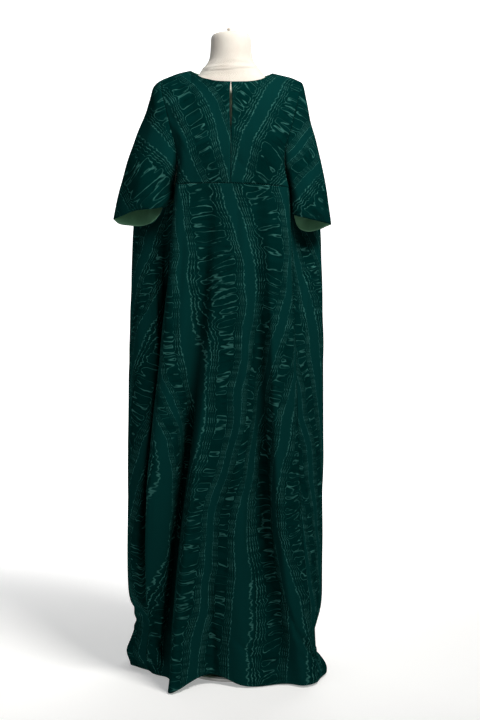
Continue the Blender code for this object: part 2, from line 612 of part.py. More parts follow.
def build_hook(collection, metal):
    """Small wire hook and eye that hold the top of the slit together."""
    z = NECK_FRONT[0][2] - 0.0045
    y = NECK_FRONT[0][1] + 0.0010
    hook = ((-0.0042, 0.0030, 0.0), (-0.0018, 0.0028, 0.0004), (0.0012, 0.0029, 0.0005),
            (0.0018, 0.0040, 0.0004), (0.0004, 0.0044, 0.0003))
    eye = ((0.0046, 0.0030, 0.0008), (0.0028, 0.0052, 0.0008), (0.0006, 0.0062, 0.0006),
           (0.0028, 0.0052, -0.0012), (0.0046, 0.0030, -0.0014))
    for name, points in (("neck_hook", hook), ("neck_eye", eye)):
        curve = bpy.data.curves.new(name, "CURVE")
        curve.dimensions = "3D"
        curve.bevel_depth = 0.00045
        curve.bevel_resolution = 2
        curve.use_fill_caps = True
        line = curve.splines.new("POLY")
        path = through(points, 11)
        line.points.add(len(path) - 1)
        for p, (a, b, c) in zip(line.points, path):
            p.co = (a, b, c, 1.0)
        thing = bpy.data.objects.new(name, curve)
        thing.data.materials.append(metal)
        thing.location = (0.0, y, z)
        collection.objects.link(thing)


def main():
    """Clear the scene and build every node."""
    for thing in list(bpy.data.objects):
        bpy.data.objects.remove(thing)
    collection = bpy.data.collections.new("moroccan_kaftan")
    bpy.context.scene.collection.children.link(collection)
    silk = material("emerald_silk", (0.003, 0.040, 0.034), 0.38)
    jersey = material("cream_jersey", (0.82, 0.77, 0.66), 0.85)
    steel = material("satin_steel", (0.55, 0.55, 0.54), 0.35, 1.0)
    metal = material("dark_hook_metal", (0.05, 0.05, 0.05), 0.40, 1.0)
    build_cloth(collection, silk)
    build_hook(collection, metal)
    build_form(collection, jersey)
    build_knob(collection, jersey)
    build_stand(collection, steel)


main()
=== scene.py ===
"""Watered-silk kaftan on a limbless dress form: fine cloth, finishes, light and camera.

Metres, +Z up; the wearer faces -Y, so +X is the wearer's left. The cloth follows the same fold lines as
the CAD solids, on a finer grid, with creases pressed into it.
"""
import logging
import math
from collections.abc import Sequence
from dataclasses import dataclass, field
from enum import Enum

import bpy
import numpy as np
from numpy.typing import NDArray
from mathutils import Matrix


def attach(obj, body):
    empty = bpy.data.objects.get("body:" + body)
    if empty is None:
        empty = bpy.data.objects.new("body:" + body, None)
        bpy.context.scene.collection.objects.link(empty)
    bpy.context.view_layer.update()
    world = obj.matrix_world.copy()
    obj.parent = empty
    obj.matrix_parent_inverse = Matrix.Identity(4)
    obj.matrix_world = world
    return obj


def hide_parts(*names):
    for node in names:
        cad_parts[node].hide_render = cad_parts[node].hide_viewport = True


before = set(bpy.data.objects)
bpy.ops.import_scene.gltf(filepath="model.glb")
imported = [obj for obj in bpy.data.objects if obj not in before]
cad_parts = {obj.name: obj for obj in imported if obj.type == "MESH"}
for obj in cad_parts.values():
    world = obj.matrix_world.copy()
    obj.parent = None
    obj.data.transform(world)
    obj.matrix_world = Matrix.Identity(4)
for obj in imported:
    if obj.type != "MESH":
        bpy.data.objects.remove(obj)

Array = NDArray[np.float64]
Point = tuple[float, float, float]
Colour = tuple[float, float, float]
Socket = bpy.types.NodeSocket
Value = "Socket | float"
Blots = tuple[float, float]

log = logging.getLogger("kaftan")


# ---------------------------------------------------------------- curves and grids
def hermite(knots: Array, values: Array, at: Array) -> Array:
    """Smooth curve through values at the knots; each slope is that of the parabola through three knots.

    Args:
        knots: rising parameter of each given value.
        values: the values, first axis along the knots.
        at: parameters to evaluate at.

    Returns:
        The curve's values at those parameters.
    """
    step = np.diff(knots)
    wide = (-1,) + (1,) * (values.ndim - 1)
    rise = np.diff(values, axis=0) / step.reshape(wide)
    slope = np.empty_like(values)
    before, after = step[:-1].reshape(wide), step[1:].reshape(wide)
    slope[1:-1] = (rise[:-1] * after + rise[1:] * before) / (before + after)
    slope[0] = 1.5 * rise[0] - 0.5 * slope[1]
    slope[-1] = 1.5 * rise[-1] - 0.5 * slope[-2]
    span = np.clip(np.searchsorted(knots, at, side="right") - 1, 0, len(knots) - 2)
    t = ((at - knots[span]) / step[span]).reshape(wide)
    h = step[span].reshape(wide)
    return ((2 * t**3 - 3 * t**2 + 1) * values[span] + (t**3 - 2 * t**2 + t) * h * slope[span]
            + (3 * t**2 - 2 * t**3) * values[span + 1] + (t**3 - t**2) * h * slope[span + 1])


def through(points: Sequence[Sequence[float]] | Array, count: int) -> Array:
    """Smooth curve through points, its parameter being the share of chord length.

    Args:
        points: the points to pass through.
        count: how many points to return, evenly spread.

    Returns:
        Array [count, n] of points on the curve.
    """
    given = np.asarray(points, float)
    chord = np.linalg.norm(np.diff(given, axis=0), axis=1)
    knots = np.concatenate([[0.0], np.cumsum(chord)])
    return hermite(knots / knots[-1], given, np.linspace(0.0, 1.0, count))


def ease(x: Array, low: float, high: float) -> Array:
    """Smooth step from 0 at low to 1 at high: 3t^2 - 2t^3."""
    t = np.clip((x - low) / (high - low), 0.0, 1.0)
    return t * t * (3 - 2 * t)


def grid_normals(grid: Array) -> Array:
    """Unit normals of a grid of points: the cross product of its steps across and down."""
    n = np.cross(np.gradient(grid, axis=1), np.gradient(grid, axis=0))
    return n / np.maximum(np.linalg.norm(n, axis=2, keepdims=True), 1e-12)


def run_length(grid: Array, axis: int) -> Array:
    """Length along each row (axis 1) or column (axis 0), summed from its first point."""
    step = np.linalg.norm(np.diff(grid, axis=axis), axis=2)
    start = np.zeros((1, grid.shape[1]) if axis == 0 else (grid.shape[0], 1))
    return np.concatenate([start, np.cumsum(step, axis=axis)], axis=axis)


def quads(rows: int, columns: int, wrap: bool = False) -> NDArray[np.int64]:
    """Corner indices of every cell of a grid, turned so that across x down faces out.

    Args:
        rows: points down.
        columns: points across.
        wrap: whether the last column joins the first.

    Returns:
        Array [cells, 4].
    """
    r, c = np.meshgrid(np.arange(rows - 1), np.arange(columns if wrap else columns - 1), indexing="ij")
    a, b = r * columns + c, r * columns + (c + 1) % columns
    return np.stack([a, b, b + columns, a + columns], axis=-1).reshape(-1, 4)


# ---------------------------------------------------------------- finishes
class Graph:
    """Node tree of one material, with short calls that add and join nodes."""

    def __init__(self, name: str) -> None:
        """Make an empty Principled material.

        Args:
            name: the material's name.
        """
        self.material = bpy.data.materials.new(name)
        self.material.use_nodes = True
        self.tree = self.material.node_tree
        self.shader = self.tree.nodes["Principled BSDF"]

    def node(self, kind: str, **settings: object) -> bpy.types.Node:
        """Add a node and set its properties."""
        made = self.tree.nodes.new(kind)
        for key, value in settings.items():
            setattr(made, key, value)
        return made

    def feed(self, socket: Socket, value: object) -> None:
        """Join a socket to the input, or set the input's own value."""
        if isinstance(value, bpy.types.NodeSocket):
            self.tree.links.new(value, socket)
        else:
            socket.default_value = value

    def sum(self, operation: str, *values: Value) -> Socket:
        """A Math node on one, two or three values."""
        made = self.node("ShaderNodeMath", operation=operation)
        for socket, value in zip(made.inputs, values):
            self.feed(socket, value)
        return made.outputs[0]

    def steps(self, value: Value, low: float, high: float,
              out: tuple[float, float] = (0.0, 1.0)) -> Socket:
        """Smooth step of a value from low to high, given out between the two numbers."""
        made = self.node("ShaderNodeMapRange", interpolation_type="SMOOTHSTEP")
        names = ("Value", "From Min", "From Max", "To Min", "To Max")
        for name, item in zip(names, (value, low, high, *out)):
            self.feed(made.inputs[name], item)
        return made.outputs[0]

    def plane(self, uv: str) -> tuple[Socket, Socket]:
        """Across and down of one of the piece's own UV maps."""
        split = self.node("ShaderNodeSeparateXYZ")
        self.feed(split.inputs[0], self.node("ShaderNodeUVMap", uv_map=uv).outputs[0])
        return split.outputs[0], split.outputs[1]

    def cloud(self, across: Value, down: Value, size: tuple[float, float], seed: float,
              detail: float = 0.0) -> Socket:
        """Noise about 0 (from about -0.5 to 0.5) whose blots have the given size across and down."""
        joined = self.node("ShaderNodeCombineXYZ")
        self.feed(joined.inputs[0], self.sum("MULTIPLY", across, 1.0 / size[0]))
        self.feed(joined.inputs[1], self.sum("MULTIPLY", down, 1.0 / size[1]))
        joined.inputs[2].default_value = seed
        noise = self.node("ShaderNodeTexNoise")
        self.feed(noise.inputs["Vector"], joined.outputs[0])
        noise.inputs["Scale"].default_value = 1.0
        noise.inputs["Detail"].default_value = detail
        return self.sum("SUBTRACT", noise.outputs[0], 0.5)

    def object_cloud(self, scale: Point, detail: float = 2.0) -> Socket:
        """Noise on the piece's object coordinates, stretched by a scale along each axis."""
        spread = self.node("ShaderNodeMapping")
        self.feed(spread.inputs["Vector"], self.node("ShaderNodeTexCoord").outputs["Object"])
        spread.inputs["Scale"].default_value = scale
        noise = self.node("ShaderNodeTexNoise")
        self.feed(noise.inputs["Vector"], spread.outputs[0])
        noise.inputs["Scale"].default_value = 1.0
        noise.inputs["Detail"].default_value = detail
        return noise.outputs[0]

    def blend(self, share: Value, first: object, second: object, kind: str = "MIX") -> Socket:
        """Colour between two colours by a share, or their product."""
        made = self.node("ShaderNodeMix", data_type="RGBA", blend_type=kind)
        for index, item in ((0, share), (6, first), (7, second)):
            self.feed(made.inputs[index], (*item, 1.0) if isinstance(item, tuple) else item)
        return made.outputs[2]

    def relief(self, height: Socket, distance: float, below: Socket | None = None) -> Socket:
        """Bump of a height by a distance in metres, on top of another."""
        made = self.node("ShaderNodeBump")
        made.inputs["Strength"].default_value = 1.0
        made.inputs["Distance"].default_value = distance
        self.feed(made.inputs["Height"], height)
        if below is not None:
            self.feed(made.inputs["Normal"], below)
        return made.outputs[0]

    def dress(self, **inputs: object) -> bpy.types.Material:
        """Feed the shader's inputs, with _ for a space in their names, and return the material."""
        for name, value in inputs.items():
            socket = self.shader.inputs[name.replace("_", " ")]
            self.feed(socket, (*value, 1.0) if isinstance(value, tuple) and len(value) == 3 else value)
        return self.material


@dataclass(frozen=True)
class MoireSilk:
    """Watered silk: smooth bars along the warp, jagged lines beside them and ladders of streaks between.

    The pattern is a phase field on the flat cut: the share between two bars times a slow cloud, plus fine
    jags, and a light line lies wherever the phase passes a half. A field that ends in _size is how wide and
    tall a cloud's blots are, in metres, and one that ends in _by is how far that cloud moves the pattern.
    """

    name: str
    grain: float
    seed: float
    pitch: float = 0.108
    fringes: float = 4.4
    drift: float = 4.5
    dark: Colour = (0.0002, 0.0140, 0.0128)
    bar: Colour = (0.0012, 0.0222, 0.0208)
    light: Colour = (0.0330, 0.1250, 0.1090)
    shadow: Colour = (0.0004, 0.0100, 0.0095)
    thin_size: Blots = (0.045, 0.006)
    brush_size: Blots = (0.030, 0.0026)
    blot_size: Blots = (0.085, 0.020)
    wander_size: Blots = (0.60, 0.36)
    wander_by: float = 0.075
    sway_size: Blots = (0.09, 0.075)
    sway_by: float = 0.016
    stagger_size: Blots = (0.17, 0.80)
    stagger_by: float = 1.9
    drift_size: Blots = (0.26, 0.50)
    slope_size: Blots = (0.14, 0.20)
    slope_by: float = 0.10
    tear_size: Blots = (0.170, 0.024)
    tear_by: float = 4.8
    jag_size: Blots = (0.030, 0.0085)
    jag_by: float = 1.3
    rib_size: Blots = (0.0060, 0.0007)
    rib_high: float = 0.00012
    pucker_high: float = 0.0011
    hem_at: float = 0.034
    hem_high: float = 0.00030

    def build(self) -> bpy.types.Material:
        """Build the material on the piece's UV maps "cut" and "edge"."""
        g = Graph(self.name)
        across, down = self.along_grain(g)
        phase, between = self.phase(g, across, down)
        thin = g.cloud(across, down, self.thin_size, self.seed + 12.5, 1.0)
        thin = g.steps(thin, -0.25, 0.30, (0.05, 0.22))
        thin = g.sum("MULTIPLY", thin, g.steps(between, 0.35, 1.0, (1.0, 0.68)))
        line = g.steps(g.sum("SUBTRACT", self.from_half(g, phase), thin), -0.10, 0.02, (1.0, 0.0))
        shadow = g.steps(self.from_half(g, g.sum("ADD", phase, 0.20)), 0.03, 0.15, (1.0, 0.0))
        brush = g.cloud(across, down, self.brush_size, self.seed + 3.1, 1.0)
        blot = g.cloud(across, down, self.blot_size, self.seed + 5.3, 1.0)
        ladder = g.steps(between, 0.03, 0.30)
        ground = g.blend(ladder, self.bar, self.dark)
        ground = g.blend(g.steps(blot, -0.10, 0.28, (0.0, 0.42)), ground, self.bar)
        shadow = g.sum("MULTIPLY", shadow, g.sum("MULTIPLY", ladder, 0.62))
        ground = g.blend(shadow, ground, self.shadow)
        strength = g.sum("MULTIPLY_ADD", brush, 1.5, 0.58)
        colour = g.blend(g.sum("MULTIPLY", line, strength), ground, self.light)
        seam, hem = g.plane("edge")
        # painted shade: within 1.6 mm of a seam the colour is darkened to 0.72, standing for the shade in the
        # seam's dip
        seam_shade = g.steps(seam, 0.0002, 0.0016, (0.72, 1.0))
        shade = g.node("ShaderNodeCombineXYZ")
        for socket in shade.inputs:
            g.feed(socket, seam_shade)
        colour = g.blend(1.0, colour, shade.outputs[0], "MULTIPLY")
        rough = g.sum("MULTIPLY_ADD", ladder, 0.08, 0.52)
        rough = g.sum("MULTIPLY_ADD", line, -0.05, rough)
        normal = self.weave(g, across, down, seam, hem, line)
        return g.dress(Base_Color=colour, Roughness=rough, Normal=normal, Sheen_Weight=0.01,
                       Sheen_Roughness=0.4, Sheen_Tint=(0.10, 0.70, 0.60), Specular_IOR_Level=0.0)

    @staticmethod
    def from_half(g: Graph, phase: Socket) -> Socket:
        """How far the phase is from the middle of its turn."""
        return g.sum("ABSOLUTE", g.sum("SUBTRACT", g.sum("FRACT", phase), 0.5))

    def along_grain(self, g: Graph) -> tuple[Socket, Socket]:
        """Across and down of the cut, turned by the grain's angle to the piece."""
        across, down = g.plane("cut")
        c, s = math.cos(math.radians(self.grain)), math.sin(math.radians(self.grain))
        turned = g.sum("MULTIPLY_ADD", across, c, g.sum("MULTIPLY", down, -s))
        fallen = g.sum("MULTIPLY_ADD", across, s, g.sum("MULTIPLY", down, c))
        return turned, fallen

    def phase(self, g: Graph, across: Socket, down: Socket) -> tuple[Socket, Socket]:
        """The phase of the watering and the share away from the nearest bar.

        Args:
            g: graph to add the nodes to.
            across: metres across the grain.
            down: metres along the grain.

        Returns:
            The phase in turns, and 0 in a bar rising to 1 midway between bars.
        """
        def moved(place: Socket, along: Socket, size: Blots, seed: float, by: float, onto: Value) -> Socket:
            """A value moved by a cloud at the given place."""
            return g.sum("MULTIPLY_ADD", g.cloud(place, along, size, self.seed + seed), by, onto)

        wander = moved(across, down, self.wander_size, 0.0, self.wander_by, across)
        wander = moved(across, down, self.sway_size, 1.7, self.sway_by, wander)
        turn = moved(wander, down, self.stagger_size, 2.9, self.stagger_by,
                     g.sum("MULTIPLY", wander, 1.0 / self.pitch))
        wave = g.sum("MULTIPLY_ADD", g.sum("COSINE", g.sum("MULTIPLY", turn, 2 * math.pi)), -0.5, 0.5)
        between = g.steps(wave, 0.0, 0.85)
        slow = moved(wander, down, self.drift_size, 7.7, self.drift, self.fringes)
        sloped = moved(across, down, self.slope_size, 13.3, self.slope_by, down)
        tear = g.sum("MULTIPLY", g.cloud(across, sloped, self.tear_size, self.seed + 4.4, 1.6), self.tear_by)
        tear = g.sum("MULTIPLY", tear, g.steps(between, 0.22, 1.0))
        jag = g.sum("MULTIPLY", g.cloud(across, down, self.jag_size, self.seed + 6.1, 1.0), self.jag_by)
        close = g.steps(between, 0.0, 0.12, (0.25, 1.0))
        close = g.sum("MULTIPLY", close, g.steps(between, 0.4, 1.0, (1.0, 0.5)))
        phase = g.sum("MULTIPLY_ADD", slow, between, g.sum("MULTIPLY_ADD", jag, close, tear))
        return phase, between

    def weave(self, g: Graph, across: Socket, down: Socket, seam: Socket, hem: Socket,
              line: Socket) -> Socket:
        """Weft ribs, the pressed lines, puckers beside seams and the faint ridge of the turned hem.

        Args:
            g: graph to add the nodes to.
            across: metres across the grain.
            down: metres along the grain.
            seam: metres to the nearest seam.
            hem: metres to the nearest free edge.
            line: 1 on a light line.

        Returns:
            The shading normal.
        """
        rib = g.cloud(across, down, self.rib_size, self.seed + 8.8, 1.0)
        normal = g.relief(g.sum("MULTIPLY_ADD", line, 0.25, rib), self.rib_high)
        pucker = g.sum("MULTIPLY", g.cloud(g.sum("ADD", across, down), seam, (0.009, 0.05), self.seed + 9.9),
                       g.steps(seam, 0.002, 0.018, (1.0, 0.0)))
        normal = g.relief(pucker, self.pucker_high, normal)
        fold = g.sum("ABSOLUTE", g.sum("SUBTRACT", hem, self.hem_at))
        fold = g.steps(fold, 0.0, 0.0028, (1.0, 0.0))
        stitch = g.cloud(across, 0.0, (0.007, 1.0), self.seed + 11.0)
        dimple = g.sum("MULTIPLY", fold, g.sum("ADD", stitch, 0.55))
        return g.relief(dimple, -self.hem_high, normal)


@dataclass(frozen=True)
class WrongSide:
    """The silk's duller wrong side with its facing, its yellow-green made far paler than the face as painted
    light shining through the thin silk: fine rib, soft cloudy tone, no lines.
    """

    name: str = "emerald_silk_wrong_side_lit_through"
    # painted light: pale and deep are far brighter than the silk's face, standing for light that shines
    # through the thin silk into the sleeves
    pale: Colour = (0.105, 0.290, 0.150)
    deep: Colour = (0.060, 0.190, 0.100)

    def build(self) -> bpy.types.Material:
        """Build the material on the piece's UV map "cut"."""
        g = Graph(self.name)
        across, down = g.plane("cut")
        blot = g.cloud(across, down, (0.06, 0.09), 3.3, 2.0)
        rib = g.cloud(across, down, (0.0060, 0.0008), 4.1, 1.0)
        colour = g.blend(g.steps(g.sum("MULTIPLY_ADD", rib, 0.4, blot), -0.25, 0.25), self.deep, self.pale)
        return g.dress(Base_Color=colour, Roughness=0.62, Normal=g.relief(rib, 0.00012),
                       Sheen_Weight=0.10)


@dataclass(frozen=True)
class Jersey:
    """Cream cotton jersey: fine columns of knit loops, faint cloudiness and painted shade, darker and warmer,
    in the hollows of its knit.
    """

    name: str = "cream_jersey"
    loop: float = 0.0011
    pale: Colour = (0.660, 0.630, 0.565)
    warm: Colour = (0.600, 0.540, 0.475)

    def build(self) -> bpy.types.Material:
        """Build the material on object coordinates and the UV map "cut"."""
        g = Graph(self.name)
        across, down = g.plane("cut")
        turn = 2 * math.pi / self.loop
        wale = g.sum("SINE", g.sum("MULTIPLY", across, turn))
        slant = g.sum("MULTIPLY_ADD", g.sum("ABSOLUTE", wale), 0.9, g.sum("MULTIPLY", down, turn * 1.25))
        knit = g.sum("MULTIPLY_ADD", g.sum("SINE", slant), 0.35, g.sum("MULTIPLY", wale, 0.5))
        cloud = g.object_cloud((22.0, 22.0, 15.0), 3.0)
        lint = g.object_cloud((900.0, 900.0, 900.0), 1.0)
        tone = g.steps(g.sum("MULTIPLY_ADD", lint, 0.3, cloud), 0.40, 0.95)
        colour = g.blend(tone, self.pale, self.warm)
        # painted shade: the knit's hollows are darkened towards (0.62, 0.56, 0.47)
        colour = g.blend(g.steps(knit, -0.8, -0.2, (0.18, 0.0)), colour, (0.62, 0.56, 0.47))
        return g.dress(Base_Color=colour, Roughness=0.88, Normal=g.relief(knit, 0.00012), Sheen_Weight=0.25,
                       Sheen_Roughness=0.5, Specular_IOR_Level=0.25)


@dataclass(frozen=True)
class Metal:
    """Metal drawn or turned along one axis: fine streaks along it, and smudges in its gloss."""

    name: str
    colour: Colour
    streak: Point
    gloss: float

    def build(self) -> bpy.types.Material:
        """Build the material on object coordinates."""
        g = Graph(self.name)
        streak = g.object_cloud(self.streak, 3.0)
        smudge = g.object_cloud((35.0, 35.0, 35.0), 3.0)
        low = tuple(0.72 * c for c in self.colour)
        colour = g.blend(g.steps(streak, 0.35, 0.70), low, self.colour)
        rough = g.sum("MULTIPLY_ADD", smudge, 0.22, self.gloss - 0.08)
        return g.dress(Base_Color=colour, Roughness=rough, Normal=g.relief(streak, 0.00003), Metallic=1.0)


# ---------------------------------------------------------------- dress form
@dataclass
class DressForm:
    """Limbless padded torso in cream jersey: a loft of rounded sections, with a gathered knot on its cap."""

    power: float = 2.25
    round_steps: int = 160
    ring_steps: int = 8
    sections: tuple[tuple[float, float, float, float], ...] = (
        (0.712, 0.146, -0.082, 0.094), (0.722, 0.156, -0.089, 0.102), (0.760, 0.163, -0.092, 0.107),
        (0.850, 0.166, -0.094, 0.110), (0.950, 0.148, -0.086, 0.096), (1.050, 0.121, -0.076, 0.074),
        (1.120, 0.124, -0.081, 0.078), (1.200, 0.140, -0.097, 0.090), (1.270, 0.148, -0.110, 0.099),
        (1.320, 0.152, -0.106, 0.100), (1.370, 0.152, -0.093, 0.094), (1.405, 0.150, -0.083, 0.083),
        (1.428, 0.134, -0.075, 0.067), (1.444, 0.114, -0.070, 0.058), (1.458, 0.095, -0.064, 0.052),
        (1.472, 0.081, -0.059, 0.048), (1.488, 0.070, -0.0575, 0.047), (1.502, 0.058, -0.055, 0.044),
        (1.520, 0.0520, -0.054, 0.043), (1.548, 0.0500, -0.054, 0.041), (1.562, 0.0490, -0.053, 0.040),
        (1.570, 0.0455, -0.049, 0.037), (1.575, 0.036, -0.041, 0.029), (1.5775, 0.022, -0.029, 0.017),
    )
    knob_at: Point = (-0.005, -0.006, 1.5836)

    def clear(self, grid: Array, room: float) -> Array:
        """Move points that are too near the form straight out from its axis, at their own height.

        Args:
            grid: points, last axis x, y, z.
            room: least distance from the form, roughly, in metres.

        Returns:
            The moved points.
        """
        table = np.array(self.sections)
        half, front, rear = (np.interp(grid[..., 2], table[:, 0], table[:, k]) for k in (1, 2, 3))
        depth = np.where(grid[..., 1] < 0, -front, rear) + room
        reach = (np.abs(grid[..., 0] / (half + room)) ** self.power
                 + np.abs(grid[..., 1] / depth) ** self.power) ** (1 / self.power)
        out = grid.copy()
        out[..., :2] *= (np.maximum(reach, 1.0) / np.maximum(reach, 1e-6))[..., None]
        return out

    def skin(self) -> Array:
        """Rings of the torso, bottom to top: superellipse sections joined by smooth curves."""
        angle = np.linspace(0, 2 * math.pi, self.round_steps, endpoint=False)
        c, s = np.cos(angle), np.sin(angle)
        table = np.array(self.sections)[:, :, None]
        power = np.where(table[:, 0] < 1.47, 2.0 / self.power, 1.0)
        x = table[:, 1] * np.sign(c) * np.abs(c) ** power
        y = np.where(s < 0, -table[:, 2], table[:, 3]) * np.sign(s) * np.abs(s) ** power
        rings = np.stack([x, y, np.broadcast_to(table[:, 0], x.shape)], axis=2)
        knots = np.linspace(0, 1, len(rings))
        return hermite(knots, rings, np.linspace(0, 1, self.ring_steps * (len(rings) - 1) + 1))

    def soft_folds(self, rings: Array) -> Array:
        """The skin with the second layer of jersey lying in slack folds round the base of the neck.

        Each fold is a raised line whose height wavers with the angle round the neck.
        """
        angle = np.arctan2(rings[..., 1], rings[..., 0])
        out = rings.copy()
        lift = np.zeros(angle.shape)
        for level, tall, high, turn in ((1.4925, 0.0030, 0.0016, 0.4), (1.4845, 0.0026, 0.0012, 1.9),
                                        (1.5005, 0.0045, 0.0009, 2.8)):
            line = level + 0.0032 * np.sin(angle + turn) + 0.0014 * np.sin(3 * angle + 2 * turn)
            strength = 0.65 + 0.35 * np.sin(2 * angle + 3 * turn)
            lift += high * strength * np.exp(-((rings[..., 2] - line) / tall) ** 2)
            lift -= 0.6 * high * strength * np.exp(-((rings[..., 2] - line + 1.7 * tall) / tall) ** 2)
        reach = np.maximum(np.linalg.norm(rings[..., :2], axis=-1, keepdims=True), 1e-6)
        out[..., :2] += rings[..., :2] / reach * lift[..., None]
        return out

    def build(self, jersey: bpy.types.Material) -> None:
        """Build the torso and its knot and put them in place of their solids."""
        rings = self.soft_folds(self.skin())[::-1]
        torso = closed_rings("jersey_torso", rings, 0.0006)
        add_piece("jersey_torso", torso, [jersey], "cream_jersey", "form_torso")
        knot = closed_rings("jersey_knot", self.knot(), 0.0)
        add_piece("jersey_knot", knot, [jersey], "cream_jersey", "form_knob")

    def knot(self) -> Array:
        """Rings of the gathered knot, top to bottom: a turned bulb whose radius waves in a slow spiral."""
        angle = np.linspace(0, 2 * math.pi, 48, endpoint=False)[None]
        profile = through(((0.0006, 0.0052), (0.0026, 0.0047), (0.0044, 0.0030), (0.0049, 0.0004),
                           (0.0040, -0.0020), (0.0030, -0.0034), (0.0033, -0.0046)), 25)
        radius, height = profile[:, :1], profile[:, 1:]
        radius = radius * (1 + 0.10 * np.sin(5 * angle + height * 700.0) * ease(0.0052 - height, 0.0, 0.002))
        x, y, z = self.knob_at
        return np.stack([x + radius * np.cos(angle), y - radius * np.sin(angle),
                         z + height + 0 * angle], axis=2)


def closed_rings(name: str, rings: Array, crown: float) -> bpy.types.Mesh:
    """Closed body from rings, top to bottom, with a pole point at each end and a UV map in metres.

    Args:
        name: the mesh's name.
        rings: array [ring, round, 3].
        crown: how far the top pole stands above the top ring.

    Returns:
        The mesh, smooth, its faces outward.
    """
    rows, columns = rings.shape[:2]
    poles = np.stack([rings[0].mean(axis=0) + (0.0, 0.0, crown), rings[-1].mean(axis=0)])
    verts = np.concatenate([rings.reshape(-1, 3), poles])
    side = quads(rows, columns, True)
    c = np.arange(columns)
    ends = [np.stack([(c + 1) % columns, c, np.full(columns, rows * columns)], axis=1),
            np.stack([c, (c + 1) % columns, np.full(columns, rows * columns + 1)], axis=1)]
    ends[1][:, :2] += (rows - 1) * columns
    mesh = bpy.data.meshes.new(name)
    mesh.from_pydata(verts.tolist(), [], side.tolist() + ends[0].tolist() + ends[1].tolist())
    face_out(mesh)
    across = run_length(rings, 1).ravel()
    down = run_length(rings, 0).ravel()
    flat = np.concatenate([np.stack([across, down], axis=1), [[0.0, 0.0], [0.0, float(down.max())]]])
    lay_uv(mesh, "cut", flat)
    mesh.polygons.foreach_set("use_smooth", np.ones(len(mesh.polygons), bool))
    return mesh


def face_out(mesh: bpy.types.Mesh) -> None:
    """Turn all faces of a closed mesh outward if its volume comes out negative."""
    points = np.empty(len(mesh.vertices) * 3)
    mesh.vertices.foreach_get("co", points)
    points = points.reshape(-1, 3)
    mesh.calc_loop_triangles()
    corners = np.empty(len(mesh.loop_triangles) * 3, np.int32)
    mesh.loop_triangles.foreach_get("vertices", corners)
    a, b, c = (points[corners.reshape(-1, 3)[:, k]] for k in range(3))
    if np.einsum("ij,ij->", a, np.cross(b, c)) < 0:
        mesh.flip_normals()


def lay_uv(mesh: bpy.types.Mesh, name: str, flat: Array) -> None:
    """Give a mesh a UV map with one flat point for each vertex."""
    corners = np.empty(len(mesh.loops), np.int32)
    mesh.loops.foreach_get("vertex_index", corners)
    mesh.uv_layers.new(name=name).data.foreach_set("uv", flat[corners].astype(np.float32).ravel())


def add_piece(name: str, mesh: bpy.types.Mesh, finishes: Sequence[bpy.types.Material], slot: str,
              *stands_for: str) -> bpy.types.Object:
    """Put a mesh into the scene as a piece on the root body.

    Args:
        name: the object's name.
        mesh: its mesh, in place.
        finishes: its materials in order of material index.
        slot: the record's material slot; not used.
        stands_for: CAD nodes that it replaces.

    Returns:
        The object.
    """
    thing = bpy.data.objects.new(name, mesh)
    for finish in finishes:
        thing.data.materials.append(finish)
    bpy.context.scene.collection.objects.link(thing)
    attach(thing, "root")
    if stands_for:
        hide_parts(*stands_for)
    log.info("%s: %d faces", name, len(mesh.polygons))
    return thing


# ---------------------------------------------------------------- cloth
@dataclass(frozen=True)
class Crease:
    """Soft trough (depth above 0) or ridge (below 0) pressed into a cloth along a smooth path.

    Its profile is -depth (1 - lip d^2/w^2) exp(-d^2/w^2) at distance d, faded towards either end.
    """

    path: tuple[tuple[float, float], ...]
    depth: float
    width: float
    ends: tuple[float, float] = (0.35, 0.35)
    lip: float = 0.45

    def press(self, flat: Array, line: Array) -> Array:
        """Offset along the normal at every point of a cloth.

        Args:
            flat: flat place of every point [n, 2].
            line: flat places along the path [m, 2].

        Returns:
            The offset of each point, metres.
        """
        low, high = line.min(axis=0) - 3.5 * self.width, line.max(axis=0) + 3.5 * self.width
        near = np.flatnonzero(((flat > low) & (flat < high)).all(axis=1))
        out = np.zeros(len(flat))
        start, way = line[:-1], np.diff(line, axis=0)
        gap = flat[near, None] - start[None]
        share = np.clip((gap * way).sum(axis=2) / np.maximum((way**2).sum(axis=1), 1e-12), 0, 1)
        away = np.linalg.norm(gap - way * share[..., None], axis=2)
        best = away.argmin(axis=1)
        pick = np.arange(len(near))
        along = (best + share[pick, best]) / len(way)
        d = away[pick, best] / self.width
        strength = ease(along, 0.0, max(self.ends[0], 1e-3)) * ease(1 - along, 0.0, max(self.ends[1], 1e-3))
        out[near] = -self.depth * strength * (1 - self.lip * d**2) * np.exp(-d**2)
        return out


class Hold(Enum):
    """How a cloth piece is held."""

    HUNG = "hung"
    DRAPED = "draped"


